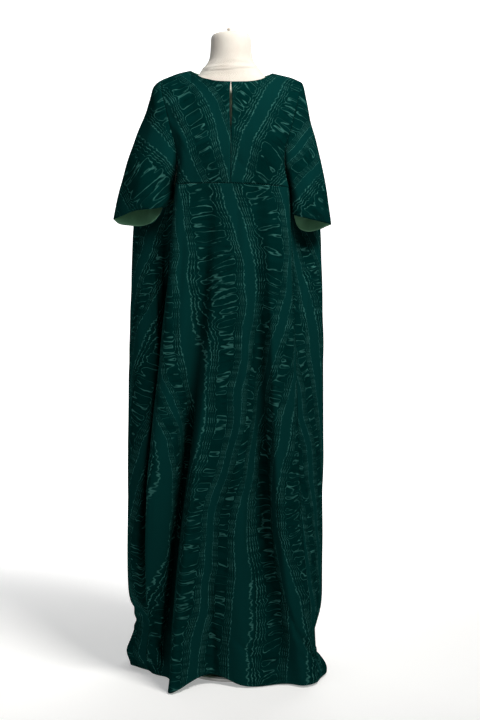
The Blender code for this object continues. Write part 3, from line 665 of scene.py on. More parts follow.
@dataclass
class Cloth:
    """One cut piece of silk: a thin closed wall on a grid of points, with its flat cut and its creases."""

    name: str
    stands_for: str
    grid: Array
    flat: Array
    finish: MoireSilk
    cut: tuple[float, float]
    cut_area: float
    hold: Hold
    outward: Point
    rests_on: tuple[str, ...]
    seams: tuple[str, ...]
    free: tuple[str, ...]
    creases: tuple[Crease, ...] = ()
    seed: int = 1
    wall: float = 0.0016
    gap: float = 0.0001
    waves: int = 14
    clear: float = 0.0045
    normal: Array = field(init=False)

    def __post_init__(self) -> None:
        """Work out the normals, turned to the outer side."""
        self.normal = grid_normals(self.grid)
        facing = self.normal[: max(6, self.grid.shape[0] // 5), self.grid.shape[1] // 2]
        if (facing @ np.array(self.outward)).mean() < 0:
            self.normal = -self.normal

    @staticmethod
    def edge(name: str) -> tuple[object, object]:
        """Index of a named edge of the grid."""
        return {"top": (0, slice(None)), "bottom": (-1, slice(None)),
                "left": (slice(None), 0), "right": (slice(None), -1)}[name]

    def edge_distance(self, names: Sequence[str]) -> Array:
        """Distance of every point to the nearest of the named edges, measured along rows and columns."""
        across, down = run_length(self.grid, 1), run_length(self.grid, 0)
        table = {"top": down, "bottom": down[-1:] - down, "left": across, "right": across[:, -1:] - across}
        return np.min([table[name] for name in names] or [np.full(across.shape, 0.5)], axis=0)

    def place(self, path: Sequence[tuple[float, float]]) -> Array:
        """Flat places along a smooth path given in shares across and down the grid."""
        share = through(path, 28)
        rows, columns = self.grid.shape[:2]
        r = np.clip(share[:, 1], 0, 1) * (rows - 1)
        c = np.clip(share[:, 0], 0, 1) * (columns - 1)
        i, j = np.minimum(r.astype(int), rows - 2), np.minimum(c.astype(int), columns - 2)
        a, b = (r - i)[:, None], (c - j)[:, None]
        return ((1 - a) * ((1 - b) * self.flat[i, j] + b * self.flat[i, j + 1])
                + a * ((1 - b) * self.flat[i + 1, j] + b * self.flat[i + 1, j + 1]))

    def ripples(self) -> Array:
        """Slight buckling: a sum of sine waves, long down the cloth and short across it."""
        rng = np.random.default_rng(self.seed)
        out = np.zeros(self.flat.shape[:2])
        for _ in range(self.waves):
            wave = rng.uniform(7.0, 26.0)
            tilt = rng.normal(0.0, 0.28)
            phase = self.flat[..., 0] * wave + self.flat[..., 1] * wave * tilt + rng.uniform(0, 1)
            swell = np.sin(2 * math.pi * (self.flat[..., 1] * rng.uniform(1.0, 3.0) + rng.uniform(0, 1)))
            out += 0.0042 / wave * np.sin(2 * math.pi * phase) * (0.6 + 0.4 * swell)
        return out

    def settle(self, form: DressForm) -> None:
        """Press the creases and ripples in, dip the seams, and keep the cloth clear of the form."""
        points = self.flat.reshape(-1, 2)
        offset = self.ripples().ravel()
        for crease in self.creases:
            offset = offset + crease.press(points, self.place(crease.path))
        seam = self.edge_distance(self.seams)
        offset = offset.reshape(seam.shape) * ease(seam, 0.0, 0.014)
        offset -= 0.0004 * np.exp(-(seam / 0.0035) ** 2)
        self.grid = form.clear(self.grid + self.normal * offset[..., None], self.clear)

    def smooth_normals(self) -> None:
        """Take the normals anew from the creased grid, keeping the shared ones along the seams."""
        fresh = grid_normals(self.grid)
        fresh *= np.sign((fresh * self.normal).sum(axis=2, keepdims=True) + 1e-9)
        keep = np.exp(-(self.edge_distance(self.seams) / 0.006) ** 2)[..., None]
        mixed = self.normal * keep + fresh * (1 - keep)
        self.normal = mixed / np.linalg.norm(mixed, axis=2, keepdims=True)

    def mesh(self) -> bpy.types.Mesh:
        """The closed wall: outer face, inner face and rims, with two UV maps: flat cut, edge distances."""
        near, free = self.edge_distance(self.seams), self.edge_distance(self.free)
        grid = self.grid.copy()
        for name in self.seams:
            at = self.edge(name)
            inside = tuple({0: 1, -1: -2}.get(k, k) if isinstance(k, int) else k for k in at)
            step = grid[inside] - grid[at]
            grid[at] += self.gap * step / np.maximum(np.linalg.norm(step, axis=-1, keepdims=True), 1e-9)
        rows, columns = grid.shape[:2]
        count = rows * columns
        outer, inner = grid.reshape(-1, 3), (grid - self.wall * self.normal).reshape(-1, 3)
        front = quads(rows, columns)
        ring = np.concatenate([np.arange(columns), np.arange(1, rows) * columns + columns - 1,
                               count - 2 - np.arange(columns - 1), np.arange(rows - 2, 0, -1) * columns])
        after = np.roll(ring, -1)
        rim = np.stack([after, ring, ring + count, after + count], axis=1)
        faces = np.concatenate([front, front[:, ::-1] + count, rim])
        mesh = bpy.data.meshes.new(self.name)
        mesh.from_pydata(np.concatenate([outer, inner]).tolist(), [], faces.tolist())
        index = np.zeros(len(faces), np.int32)
        index[len(front):2 * len(front)] = 1
        mesh.polygons.foreach_set("material_index", index)
        face_out(mesh)
        lay_uv(mesh, "cut", np.tile(self.flat.reshape(-1, 2), (2, 1)))
        lay_uv(mesh, "edge", np.tile(np.stack([near.ravel(), free.ravel()], axis=1), (2, 1)))
        smooth = np.ones(len(faces), bool)
        smooth[2 * len(front):] = False
        mesh.polygons.foreach_set("use_smooth", smooth)
        return mesh

    def measured(self) -> float:
        """Area of one side, square metres."""
        across = np.diff(self.grid, axis=1)[:-1]
        down = np.diff(self.grid, axis=0)[:, :-1]
        return float(np.linalg.norm(np.cross(across, down), axis=2).sum())

    def build(self, wrong_side: bpy.types.Material) -> bpy.types.Object:
        log.info("%s: %.3f m2 on the form, cut %s m", self.name, self.measured(), self.cut)
        span = np.ptp(self.flat.reshape(-1, 2), axis=0)
        log.info("%s: flat spans %.3f x %.3f", self.name, span[0], span[1])
        finishes = [self.finish.build(), wrong_side]
        piece = add_piece(self.name, self.mesh(), finishes, "emerald_silk", self.stands_for)
        return piece


@dataclass
class Kaftan:
    """The whole garment: the fold lines of its skirt, the lines of its bodice and sleeves, and its pieces."""

    form: DressForm
    fine: int = 8
    skirt_fine: int = 15
    back_fine: int = 6
    front_steps: int = 16
    back_steps: int = 12
    room: float = 0.0070
    underarm: float = 1.160
    slit_end: float = 1.336
    slit_half: float = 0.0026
    bust_rise: float = 0.007
    chest_rise: float = 0.004
    puff: float = 0.022
    levels: tuple[float, ...] = (1.20, 0.80, 0.35, 0.0)
    # hem height, then across and depth (cm) at each level, once round from the wearer's right front side seam
    folds: tuple[tuple[float, ...], ...] = (
        (0.4, -13.7, -6.0, -16.9, -3.2, -20.8, -7.6, -20.5, -2.0),
        (0.4, -12.7, -10.6, -15.8, -13.0, -19.8, -15.0, -19.2, -4.5),
        (0.5, -8.8, -11.6, -11.8, -13.4, -15.4, -13.8, -17.6, -6.4),
        (0.5, -5.0, -12.1, -7.8, -11.0, -13.0, -5.8, -16.2, -7.6),
        (0.3, -2.9, -12.5, -5.5, -15.0, -10.4, -17.6, -14.2, -20.0),
        (2.6, 0.0, -12.8, 0.1, -15.4, -4.5, -14.8, -4.2, -12.2),
        (0.5, 2.9, -12.8, 3.4, -15.6, 1.6, -16.4, 3.2, -15.0),
        (0.3, 6.2, -12.3, 6.8, -12.4, 9.2, -10.6, 13.6, -12.8),
        (0.5, 9.1, -12.0, 10.0, -15.2, 12.4, -16.2, 17.6, -14.6),
        (0.5, 13.6, -10.4, 14.6, -13.2, 15.4, -14.2, 20.8, -12.0),
        (0.5, 14.4, -7.6, 15.6, -11.0, 17.4, -11.8, 21.6, -9.2),
        (0.4, 16.6, 0.0, 18.4, -8.6, 19.6, -9.2, 23.0, -4.5),
        (0.4, 21.8, 2.6, 22.7, -1.6, 22.6, -2.0, 22.4, 0.5),
        (0.4, 18.4, 5.6, 20.2, 6.0, 19.6, 7.0, 20.0, 7.6),
        (0.3, 15.9, 8.6, 19.2, 12.4, 20.6, 15.2, 21.6, 17.0),
        (0.4, 10.6, 10.6, 12.2, 13.0, 13.2, 14.8, 13.6, 15.8),
        (0.3, 6.8, 12.3, 8.2, 17.2, 9.2, 21.4, 9.8, 24.0),
        (0.4, 2.2, 12.1, 3.0, 15.0, 3.4, 17.4, 3.6, 18.6),
        (0.3, -3.0, 12.6, -2.6, 17.8, -2.2, 22.6, -1.8, 25.4),
        (0.4, -7.4, 11.6, -8.2, 14.4, -8.6, 16.8, -8.6, 18.0),
        (0.3, -11.4, 11.4, -13.2, 16.2, -14.8, 20.2, -15.8, 22.4),
        (0.4, -15.4, 8.6, -16.8, 10.6, -18.0, 12.2, -18.8, 13.0),
        (0.3, -20.6, 6.8, -22.4, 8.6, -24.0, 10.2, -24.8, 11.0),
        (0.4, -24.0, 3.8, -25.0, -1.2, -25.2, -1.5, -23.8, 6.5),
        (0.4, -21.4, 1.6, -21.6, -7.0, -25.0, -6.5, -25.0, 3.0),
        (0.4, -17.2, 0.5, -17.9, -8.2, -22.4, -9.0, -23.2, 0.5),
    )
    # where the long cloth breaks on the floor: fold it is centred on, height, reach round, reach up, push out
    breaks: tuple[tuple[float, ...], ...] = (
        (24.5, 0.130, 1.6, 0.040, -0.021), (24.4, 0.042, 1.4, 0.026, 0.012),
        (11.5, 0.090, 1.4, 0.052, -0.021), (11.6, 0.018, 1.2, 0.022, 0.009),
    )
    neck_front: tuple[Point, ...] = (
        (0.0, -0.0925, 1.4480), (-0.034, -0.0885, 1.4505), (-0.068, -0.066, 1.4600),
        (-0.088, -0.036, 1.4735), (-0.0980, -0.006, 1.4830))
    neck_back: tuple[Point, ...] = (
        (-0.0980, -0.006, 1.4830), (-0.086, 0.032, 1.4815), (-0.050, 0.062, 1.4750), (0.0, 0.073, 1.4720))
    shoulder: tuple[Point, ...] = (
        (-0.0980, -0.006, 1.4830), (-0.140, -0.002, 1.4735), (-0.172, 0.002, 1.4610))
    armhole: tuple[Point, ...] = (
        (-0.172, 0.002, 1.4610), (-0.167, -0.052, 1.425), (-0.148, -0.088, 1.350), (-0.129, -0.097, 1.270))
    centre: tuple[Point, ...] = ((0.0, -0.0925, 1.4480), (0.0, -0.107, 1.385), (0.0, -0.1225, 1.310))
    overarm: tuple[Point, ...] = (
        (-0.172, 0.002, 1.4610), (-0.190, 0.003, 1.4455), (-0.1985, 0.003, 1.4200),
        (-0.2120, 0.002, 1.3760), (-0.2340, -0.001, 1.3220), (-0.2525, -0.016, 1.2670),
        (-0.2700, -0.030, 1.2000), (-0.2860, -0.046, 1.1190))
    hem_front: tuple[Point, ...] = (
        (-0.2860, -0.046, 1.1190), (-0.262, -0.088, 1.1265), (-0.226, -0.113, 1.1385),
        (-0.184, -0.122, 1.1430), (-0.164, -0.112, 1.1460), (-0.163, -0.088, 1.1420))
    hem_back: tuple[Point, ...] = (
        (-0.2860, -0.046, 1.1190), (-0.274, -0.052, 1.1085), (-0.242, -0.062, 1.1025),
        (-0.208, -0.073, 1.1030), (-0.182, -0.082, 1.1160), (-0.163, -0.088, 1.1420))
    hem_front_left: tuple[Point, ...] = (
        (-0.2440, -0.046, 1.1060), (-0.228, -0.080, 1.1100), (-0.200, -0.108, 1.1160),
        (-0.172, -0.120, 1.1220), (-0.153, -0.112, 1.1280), (-0.150, -0.088, 1.1300))
    hem_back_left: tuple[Point, ...] = (
        (-0.2440, -0.046, 1.1060), (-0.234, -0.050, 1.1020), (-0.214, -0.058, 1.0935),
        (-0.186, -0.068, 1.0880), (-0.162, -0.080, 1.0980), (-0.150, -0.088, 1.1300))
    left_corner: tuple[float, float] = (-0.042, -0.013)
    left_drop: float = 0.006

    # ---- the skirt's fold lines
    def section(self, heights: Array) -> Array:
        """Every fold line at the given heights [row, fold]: smooth curves through its table levels."""
        table = np.array(self.folds)[:, 1:] / 100.0
        levels = np.array(self.levels)[::-1]
        xy = [hermite(levels, row.reshape(-1, 2)[::-1], heights[:, i]) for i, row in enumerate(table)]
        return np.concatenate([np.stack(xy, axis=1), heights[..., None]], axis=2)

    def ring(self, lines: Array, first: int, last: int, steps: int) -> Array:
        """Columns from one fold line to another: cubic spans whose slopes weigh both neighbours by length.

        Args:
            lines: fold lines [row, fold, 3].
            first: fold to start from.
            last: fold to end on.
            steps: columns in a span.

        Returns:
            Grid [row, column, 3].
        """
        count = lines.shape[1]
        t = (np.arange(steps) / steps)[None, :, None]
        spans = []
        for i in range(first, last):
            p0, p1, p2, p3 = (lines[:, (i + k) % count][:, None] for k in (-1, 0, 1, 2))
            h0, h1, h2 = (np.linalg.norm(b - a, axis=2, keepdims=True)
                          for a, b in ((p0, p1), (p1, p2), (p2, p3)))
            m1 = ((p1 - p0) / h0 * h1 + (p2 - p1) / h1 * h0) / (h0 + h1) * h1
            m2 = ((p2 - p1) / h1 * h2 + (p3 - p2) / h2 * h1) / (h1 + h2) * h1
            spans.append((2 * t**3 - 3 * t**2 + 1) * p1 + (t**3 - 2 * t**2 + t) * m1
                         + (3 * t**2 - 2 * t**3) * p2 + (t**3 - t**2) * m2)
        spans.append(lines[:, last % count][:, None])
        return np.concatenate(spans, axis=1)

    def broken(self, grid: Array, first: int, steps: int) -> Array:
        """The grid with bell-shaped dents and swellings where the long cloth breaks near the floor."""
        place = first + np.arange(grid.shape[1]) / steps
        outward = grid * (1.0, 1.0, 0.0)
        outward = outward / np.maximum(np.linalg.norm(outward, axis=2, keepdims=True), 1e-9)
        push = np.zeros(grid.shape[:2])
        for at, height, reach, tall, depth in self.breaks:
            away = (place - at + 13) % len(self.folds) - 13
            up = (grid[..., 2] - height) / tall
            push += depth * np.exp(-(away / reach) ** 2)[None] * np.exp(-up ** 2)
        return grid + outward * push[..., None]

    def below_underarm(self) -> Array:
        """Fold lines from the underarm to the hem, rows closer near the floor (t + 0.12 sin pi t)."""
        hems = np.array(self.folds)[:, 0] / 100.0
        t = np.linspace(0, 1, 13 * self.skirt_fine + 1)
        share = t + 0.12 * np.sin(math.pi * t)
        return self.section(self.underarm + (hems - self.underarm)[None] * share[:, None])

    def front_skirt(self) -> Array:
        """Front skirt from the curved empire seam to the hem."""
        across = np.array(self.folds)[:11, 1] / 100.0
        tops = 1.2035 - 0.30 * across**2 - 0.022 * across
        share = np.linspace(0, 1, 2 * self.fine + 1)[:-1]
        upper = np.tile((1.2 + (self.underarm - 1.2) * share)[:, None], (1, len(self.folds)))
        upper[:, :11] = tops[None] + (self.underarm - tops)[None] * share[:, None]
        lines = np.concatenate([self.section(upper), self.below_underarm()], axis=0)
        grid = self.ring(lines, 0, 10, self.front_steps)
        return self.form.clear(self.broken(grid, 0, self.front_steps), self.room)

    # ---- bodice, back and sleeves
    def on_side(self, points: Sequence[Point], side: int, whole: bool = False) -> Array:
        """A line of the right side, or its lowered mirror image on the left.

        Args:
            points: the wearer's right line.
            side: -1 for the right, 1 for the left.
            whole: whether every point drops with the shoulder, as the shoulder line does.

        Returns:
            The line's points.
        """
        line = np.array(points)
        if side > 0:
            share = 1.0 if whole else np.abs(line[:, 0]) / abs(self.shoulder[0][0])
            line = line * (-1, 1, 1)
            line[:, 2] -= self.left_drop * share
            line[:, 0] += 0.003 * share
        return line

    def bodice(self, side: int, seam: Array) -> Array:
        """A bias-cut half: sections from armhole to centre front, corrected to the neck, shoulder and seam.

        Args:
            side: -1 for the wearer's right, 1 for the left.
            seam: points of the empire seam, side to centre.

        Returns:
            Grid from the top edge down, columns from the armhole to the centre front.
        """
        across = len(seam)
        on_neck = round((across - 1) * 0.55)
        shoulder = through(self.on_side(self.shoulder, side, True), across - on_neck)
        neck = through(self.on_side(self.neck_front, side), on_neck + 1)
        top = np.concatenate([shoulder[::-1], neck[::-1][1:]])
        arm = np.array(self.armhole) * (1 if side < 0 else -1, 1, 1)
        arm[0] = shoulder[-1]
        rows = 8 * self.fine + 1
        armhole = through(np.vstack([arm, seam[0]]), rows)
        centre = through(np.vstack([np.array(self.centre), seam[-1]]), rows)
        u = np.linspace(0, 1, across)[None, :, None]
        v = np.linspace(0, 1, rows)[:, None, None]
        share = np.concatenate([u, np.sin(math.pi / 2 * u) ** 0.9, u], axis=2)
        base = armhole[:, None] * (1 - share) + centre[:, None] * share
        fade = np.concatenate([1 - v, (1 - v) ** 6, (1 - v) ** 3], axis=2)
        grid = base + (top - base[0])[None] * fade + (seam - base[-1])[None] * v**2
        swell = (self.bust_rise * np.exp(-((v - 0.66) / 0.24) ** 2)
                 + self.chest_rise * np.exp(-((v - 0.26) / 0.2) ** 2))
        grid[..., 1:2] -= swell * np.sin(math.pi * u) ** 1.2 * np.sin(math.pi * v) ** 0.7
        return self.form.clear(grid, self.room)

    def slit(self, grid: Array, side: int) -> Array:
        """Part the centre front between the hook and the foot of the slit: a half sine, fading sideways."""
        top = self.neck_front[0][2]
        share = np.clip((top - grid[:, -1, 2]) / (top - self.slit_end), 0, 1)
        part = self.slit_half * np.sin(math.pi * share) ** 0.6 + 0.0003
        away = np.abs(grid[..., 0] - grid[:, -1:, 0])
        out = grid.copy()
        out[..., 0] += side * part[:, None] * np.exp(-(away / 0.020) ** 2)
        return out

    def back(self) -> Array:
        """The back: cubic columns from the neck and shoulders to the underarm, then the fold lines."""
        lower = self.broken(self.ring(self.below_underarm(), 10, 26, self.back_steps), 10, self.back_steps)
        columns = lower.shape[1]
        neck = np.vstack([self.on_side(self.neck_back, 1), self.on_side(self.neck_back, -1)[::-1][1:]])
        at_shoulder = (columns - 1) // 3
        left = through(self.on_side(self.shoulder, 1, True), at_shoulder + 1)[::-1]
        right = through(self.on_side(self.shoulder, -1, True), at_shoulder + 1)
        top = np.vstack([left[:-1], through(neck, columns - 2 * at_shoulder), right[1:]])
        u = np.linspace(-1, 1, columns)[:, None]
        edge = np.abs(u) ** 3
        flat = np.clip(np.abs(u) / 0.34, 0, 1) ** 2
        lean = np.hstack([-0.03 * u, 0.13 + 0.19 * flat, -0.30 + 0.14 * flat])
        slope = (lower[self.skirt_fine] - lower[0]) / (lower[0, :, 2] - lower[self.skirt_fine, :, 2])[:, None]
        fall = slope * (top[:, 2] - lower[0, :, 2])[:, None]
        fall = fall * (1 - edge) + edge * np.hstack([0.02 * np.sign(u), -0.16 + 0 * u, -0.24 + 0 * u])
        v = np.linspace(0, 1, 8 * self.back_fine + 1)[:-1, None, None]
        rows = ((2 * v**3 - 3 * v**2 + 1) * top + (v**3 - 2 * v**2 + v) * lean
                + (3 * v**2 - 2 * v**3) * lower[0] + (v**3 - v**2) * fall)
        return self.form.clear(np.concatenate([rows, lower], axis=0), self.room)

    def sleeve(self, side: int, front_edge: Array, back_edge: Array) -> tuple[Array, Array]:
        """A short wide sleeve: two Coons layers that meet at the overarm fold and the underarm.

        Args:
            side: -1 for the wearer's right, 1 for the left.
            front_edge: the armhole in front, shoulder to underarm.
            back_edge: the armhole behind, shoulder to underarm.

        Returns:
            Grid [armhole to hem, underarm in front to underarm behind] and its flat places.
        """
        flip = np.array((1.0 if side < 0 else -1.0, 1.0, 1.0))
        hems = (self.hem_front, self.hem_back) if side < 0 else (self.hem_front_left, self.hem_back_left)
        overarm, hem_front, hem_back = (np.array(c) * flip for c in (self.overarm, *hems))
        if side > 0:
            share = np.clip((np.abs(overarm[:, 0]) - 0.16) / 0.126, 0, 1)
            overarm[:, 0] += self.left_corner[0] * share
            overarm[:, 2] += self.left_corner[1] * share**0.5
        overarm[0] = front_edge[0]
        rows = 7 * self.fine + 1
        over = through(overarm, rows)
        low, tip = front_edge[-1], hem_front[-1]
        under = through(np.vstack([low, (low + tip) / 2, tip]), rows)
        a = np.linspace(0, 1, len(front_edge))[None, :, None]
        t = np.linspace(0, 1, rows)[:, None, None]
        layers, flats = [], []
        for edge, hem, way in ((front_edge, hem_front, -1.0), (back_edge, hem_back, 1.0)):
            hem_line = through(hem, len(edge))
            corners = ((1 - t) * ((1 - a) * edge[0] + a * edge[-1])
                       + t * ((1 - a) * hem_line[0] + a * hem_line[-1]))
            grid = ((1 - t) * edge[None] + t * hem_line[None] + (1 - a) * over[:, None] + a * under[:, None]
                    - corners)
            swell = self.puff * (1.0 if way < 0 else 0.12)
            grid[..., 1:2] += way * swell * 1.9 * np.sqrt(a) * (1 - a) ** 0.8 * np.sin(math.pi * t) ** 0.8
            fold = np.interp(grid[..., 2], over[::-1, 2], over[::-1, 0])
            across = grid[..., 0] if way < 0 else 2 * fold - grid[..., 0]
            layers.append(grid)
            flats.append(np.stack([across, -grid[..., 2]], axis=2))
        return (np.concatenate([layers[0][:, ::-1], layers[1][:, 1:]], axis=1),
                np.concatenate([flats[0][:, ::-1], flats[1][:, 1:]], axis=1))

    @staticmethod
    def laid_flat(grid: Array, reference: int) -> Array:
        """Flat places of a grid: length along each row from a reference column, and down each column."""
        across = run_length(grid, 1)
        return np.stack([across - across[:, reference:reference + 1], run_length(grid, 0)], axis=2)

    @staticmethod
    def bodice_flat(grid: Array) -> Array:
        """Flat places of a bodice half: straight across, and length in depth and height from the seam."""
        step = np.linalg.norm(np.diff(grid[..., 1:], axis=0), axis=2)
        up = np.concatenate([np.cumsum(step[::-1], axis=0)[::-1], np.zeros((1, grid.shape[1]))])
        return np.stack([grid[..., 0], -up], axis=2)

    # ---- pieces
    def pieces(self) -> list[Cloth]:
        """Every cloth piece with its cut, seams and creases."""
        skirt, back = self.front_skirt(), self.back()
        middle = 5 * self.front_steps
        right = self.bodice(-1, skirt[0, :middle + 1])
        left = self.bodice(1, skirt[0, middle:][::-1])
        yoke = 2 * self.fine + 1
        count = 10 * self.fine + 1
        ends = [through(back[:8 * self.back_fine + 1, k], count) for k in (-1, 0)]
        sleeve_right, flat_right = self.sleeve(-1, np.vstack([right[:, 0], skirt[1:yoke, 0]]), ends[0])
        sleeve_left, flat_left = self.sleeve(1, np.vstack([left[:, 0], skirt[1:yoke, -1]]), ends[1])
        right, left = self.slit(right, -1), self.slit(left, 1)
        front, behind = (0.0, -1.0, 0.0), (0.0, 1.0, 0.0)
        return [
            Cloth("silk_front_skirt", "front_skirt", skirt, self.laid_flat(skirt, middle),
                  MoireSilk("emerald_silk_skirt", 0.0, 2.0), (0.66, 1.24), 0.69, Hold.HUNG, front,
                  ("silk_bodice_right", "silk_bodice_left"), ("top", "left", "right"), ("bottom",),
                  self.skirt_creases(skirt, 0, 10), 11),
            Cloth("silk_back", "back", back, self.laid_flat(back, (back.shape[1] - 1) // 2),
                  MoireSilk("emerald_silk_back", 0.0, 13.0), (1.25, 1.60), 1.35, Hold.HUNG, behind,
                  ("jersey_torso",), ("top", "left", "right"), ("bottom",),
                  self.skirt_creases(back, 10, 26), 23),
            Cloth("silk_bodice_right", "front_bodice_right", right, self.bodice_flat(right),
                  MoireSilk("emerald_silk_bodice_right", 29.0, 31.0), (0.18, 0.32), 0.047, Hold.DRAPED, front,
                  ("jersey_torso",), ("left", "bottom"), ("top", "right"), self.bodice_creases(), 5),
            Cloth("silk_bodice_left", "front_bodice_left", left, self.bodice_flat(left),
                  MoireSilk("emerald_silk_bodice_left", -29.0, 47.0), (0.18, 0.32), 0.047, Hold.DRAPED, front,
                  ("jersey_torso",), ("left", "bottom"), ("top", "right"), self.bodice_creases(), 7),
            Cloth("silk_sleeve_right", "sleeve_right", sleeve_right, flat_right,
                  MoireSilk("emerald_silk_sleeve_right", 38.0, 61.0), (0.40, 0.36), 0.085, Hold.HUNG, front,
                  ("silk_bodice_right", "silk_back"), ("top", "left", "right"), ("bottom",),
                  self.sleeve_creases(), 3),
            Cloth("silk_sleeve_left", "sleeve_left", sleeve_left, flat_left,
                  MoireSilk("emerald_silk_sleeve_left", -38.0, 83.0), (0.36, 0.37), 0.072, Hold.HUNG, front,
                  ("silk_bodice_left", "silk_back"), ("top", "left", "right"), ("bottom",),
                  self.sleeve_creases(), 4),
        ]

    # fold and height of each point of the path, depth, width (mm), fade at either end
    skirt_table: tuple[tuple[tuple[tuple[float, float], ...], float, float, float, float], ...] = (
        (((0.45, 1.13), (0.50, 0.95), (0.50, 0.68)), 10.0, 11, 0.05, 0.5),
        (((2.40, 0.46), (2.45, 0.24), (2.55, 0.04)), 6.0, 16, 0.3, 0.1),
        (((1.55, 1.16), (1.60, 0.90), (1.50, 0.62)), 2.6, 10, 0.3, 0.4),
        (((1.40, 0.90), (1.35, 0.60), (1.45, 0.28)), -2.4, 11, 0.3, 0.3),
        (((3.00, 0.78), (3.00, 0.40), (3.00, 0.03)), 6.0, 14, 0.4, 0.1),
        (((4.00, 0.72), (4.00, 0.40), (4.00, 0.02)), -3.0, 9, 0.3, 0.1),
        (((4.25, 0.98), (4.30, 0.75), (4.35, 0.52)), 2.4, 11, 0.3, 0.4),
        (((4.95, 0.34), (4.97, 0.20), (5.05, 0.015)), 7.0, 9, 0.4, 0.05),
        (((5.55, 1.19), (5.45, 1.00), (5.50, 0.82)), 1.8, 11, 0.1, 0.5),
        (((4.60, 0.85), (4.66, 0.62), (4.62, 0.42)), -2.4, 12, 0.3, 0.4),
        (((6.40, 0.98), (6.30, 0.60), (6.45, 0.22)), 2.8, 13, 0.3, 0.3),
        (((7.00, 1.00), (7.00, 0.55), (7.05, 0.25)), 6.0, 14, 0.4, 0.2),
        (((7.05, 0.30), (7.50, 0.205), (8.50, 0.115), (9.30, 0.075), (10.0, 0.055)), 8.0, 12, 0.3, 0.05),
        (((7.60, 0.145), (8.80, 0.065), (9.80, 0.030)), -4.5, 12, 0.3, 0.2),
        (((8.00, 1.12), (8.00, 0.70), (8.00, 0.32)), -2.6, 9, 0.3, 0.3),
        (((8.50, 0.82), (8.45, 0.55), (8.50, 0.33)), 2.4, 9, 0.3, 0.4),
        (((9.00, 1.16), (9.00, 0.70), (9.00, 0.30)), -2.6, 8, 0.2, 0.3),
        (((5.60, 0.14), (6.30, 0.075), (7.00, 0.035)), 4.5, 11, 0.4, 0.2),
        (((4.30, 0.17), (4.50, 0.11), (4.80, 0.06)), 3.6, 10, 0.4, 0.3),
        (((1.00, 0.20), (1.60, 0.125), (2.40, 0.06)), 5.0, 12, 0.3, 0.2),
        (((25.35, 1.11), (25.60, 1.05), (25.80, 0.99), (25.85, 0.90)), 6.0, 8, 0.1, 0.5),
        (((24.40, 1.08), (24.90, 0.85), (25.50, 0.65), (25.75, 0.50)), -3.4, 9, 0.2, 0.4),
        (((24.75, 1.06), (25.20, 0.85), (25.70, 0.68)), 2.6, 8, 0.2, 0.4),
        (((23.40, 0.180), (24.40, 0.145), (25.30, 0.145), (25.95, 0.165)), 5.0, 11, 0.3, 0.1),
        (((11.60, 1.10), (11.10, 0.93), (10.60, 0.77), (10.40, 0.60)), -3.2, 8, 0.2, 0.4),
        (((11.25, 1.06), (10.80, 0.88), (10.45, 0.74)), 2.2, 7, 0.2, 0.4),
        (((10.0, 0.055), (11.0, 0.052), (12.0, 0.050), (12.8, 0.065)), 6.0, 10, 0.05, 0.3),
        (((13.0, 1.05), (13.0, 0.60), (13.0, 0.15)), 4.0, 12, 0.3, 0.2),
        (((23.0, 1.05), (23.0, 0.65), (23.0, 0.20)), 4.0, 12, 0.3, 0.2),
        (((14.2, 0.85), (14.1, 0.55), (14.3, 0.30)), -2.5, 11, 0.3, 0.3),
        (((15.0, 1.02), (15.0, 0.55), (15.0, 0.10)), 4.6, 14, 0.3, 0.1),
        (((15.6, 0.62), (15.5, 0.40), (15.6, 0.20)), -2.6, 10, 0.3, 0.3),
        (((16.0, 0.78), (16.0, 0.40), (16.0, 0.05)), -4.0, 11, 0.3, 0.1),
        (((16.5, 1.04), (16.6, 0.80), (16.5, 0.52)), 3.0, 11, 0.3, 0.4),
        (((17.0, 0.90), (17.0, 0.45), (17.0, 0.06)), 6.0, 15, 0.3, 0.1),
        (((18.0, 0.74), (18.0, 0.40), (18.0, 0.05)), -4.0, 11, 0.3, 0.1),
        (((18.5, 1.08), (18.4, 0.86), (18.5, 0.60)), 3.0, 11, 0.3, 0.4),
        (((19.0, 0.96), (19.0, 0.50), (19.0, 0.08)), 6.0, 15, 0.3, 0.1),
        (((19.6, 0.66), (19.5, 0.42), (19.6, 0.22)), 3.0, 9, 0.3, 0.3),
        (((20.0, 0.84), (20.0, 0.45), (20.0, 0.06)), -4.0, 11, 0.3, 0.1),
        (((21.0, 1.02), (21.0, 0.55), (21.0, 0.12)), 5.0, 14, 0.3, 0.1),
        (((21.9, 0.80), (21.8, 0.50), (22.0, 0.24)), -2.8, 12, 0.3, 0.3),
        (((15.2, 0.13), (16.0, 0.080), (16.9, 0.10)), 5.5, 12, 0.3, 0.3),
        (((18.6, 0.15), (19.4, 0.085), (20.2, 0.105)), 5.0, 12, 0.3, 0.3),
        (((21.2, 0.165), (22.2, 0.100), (22.9, 0.12)), 5.5, 12, 0.3, 0.3),
        (((13.4, 0.14), (14.2, 0.085), (14.8, 0.07)), 4.5, 11, 0.3, 0.3),
        (((15.8, 1.38), (16.5, 1.30), (17.0, 1.18)), 2.0, 14, 0.4, 0.4),
        (((20.3, 1.37), (19.6, 1.28), (19.2, 1.16)), 2.0, 14, 0.4, 0.4),
        (((13.2, 1.34), (14.0, 1.24), (14.8, 1.16)), 2.2, 12, 0.3, 0.4),
        (((22.8, 1.33), (22.0, 1.23), (21.3, 1.16)), 2.2, 12, 0.3, 0.4),
    )

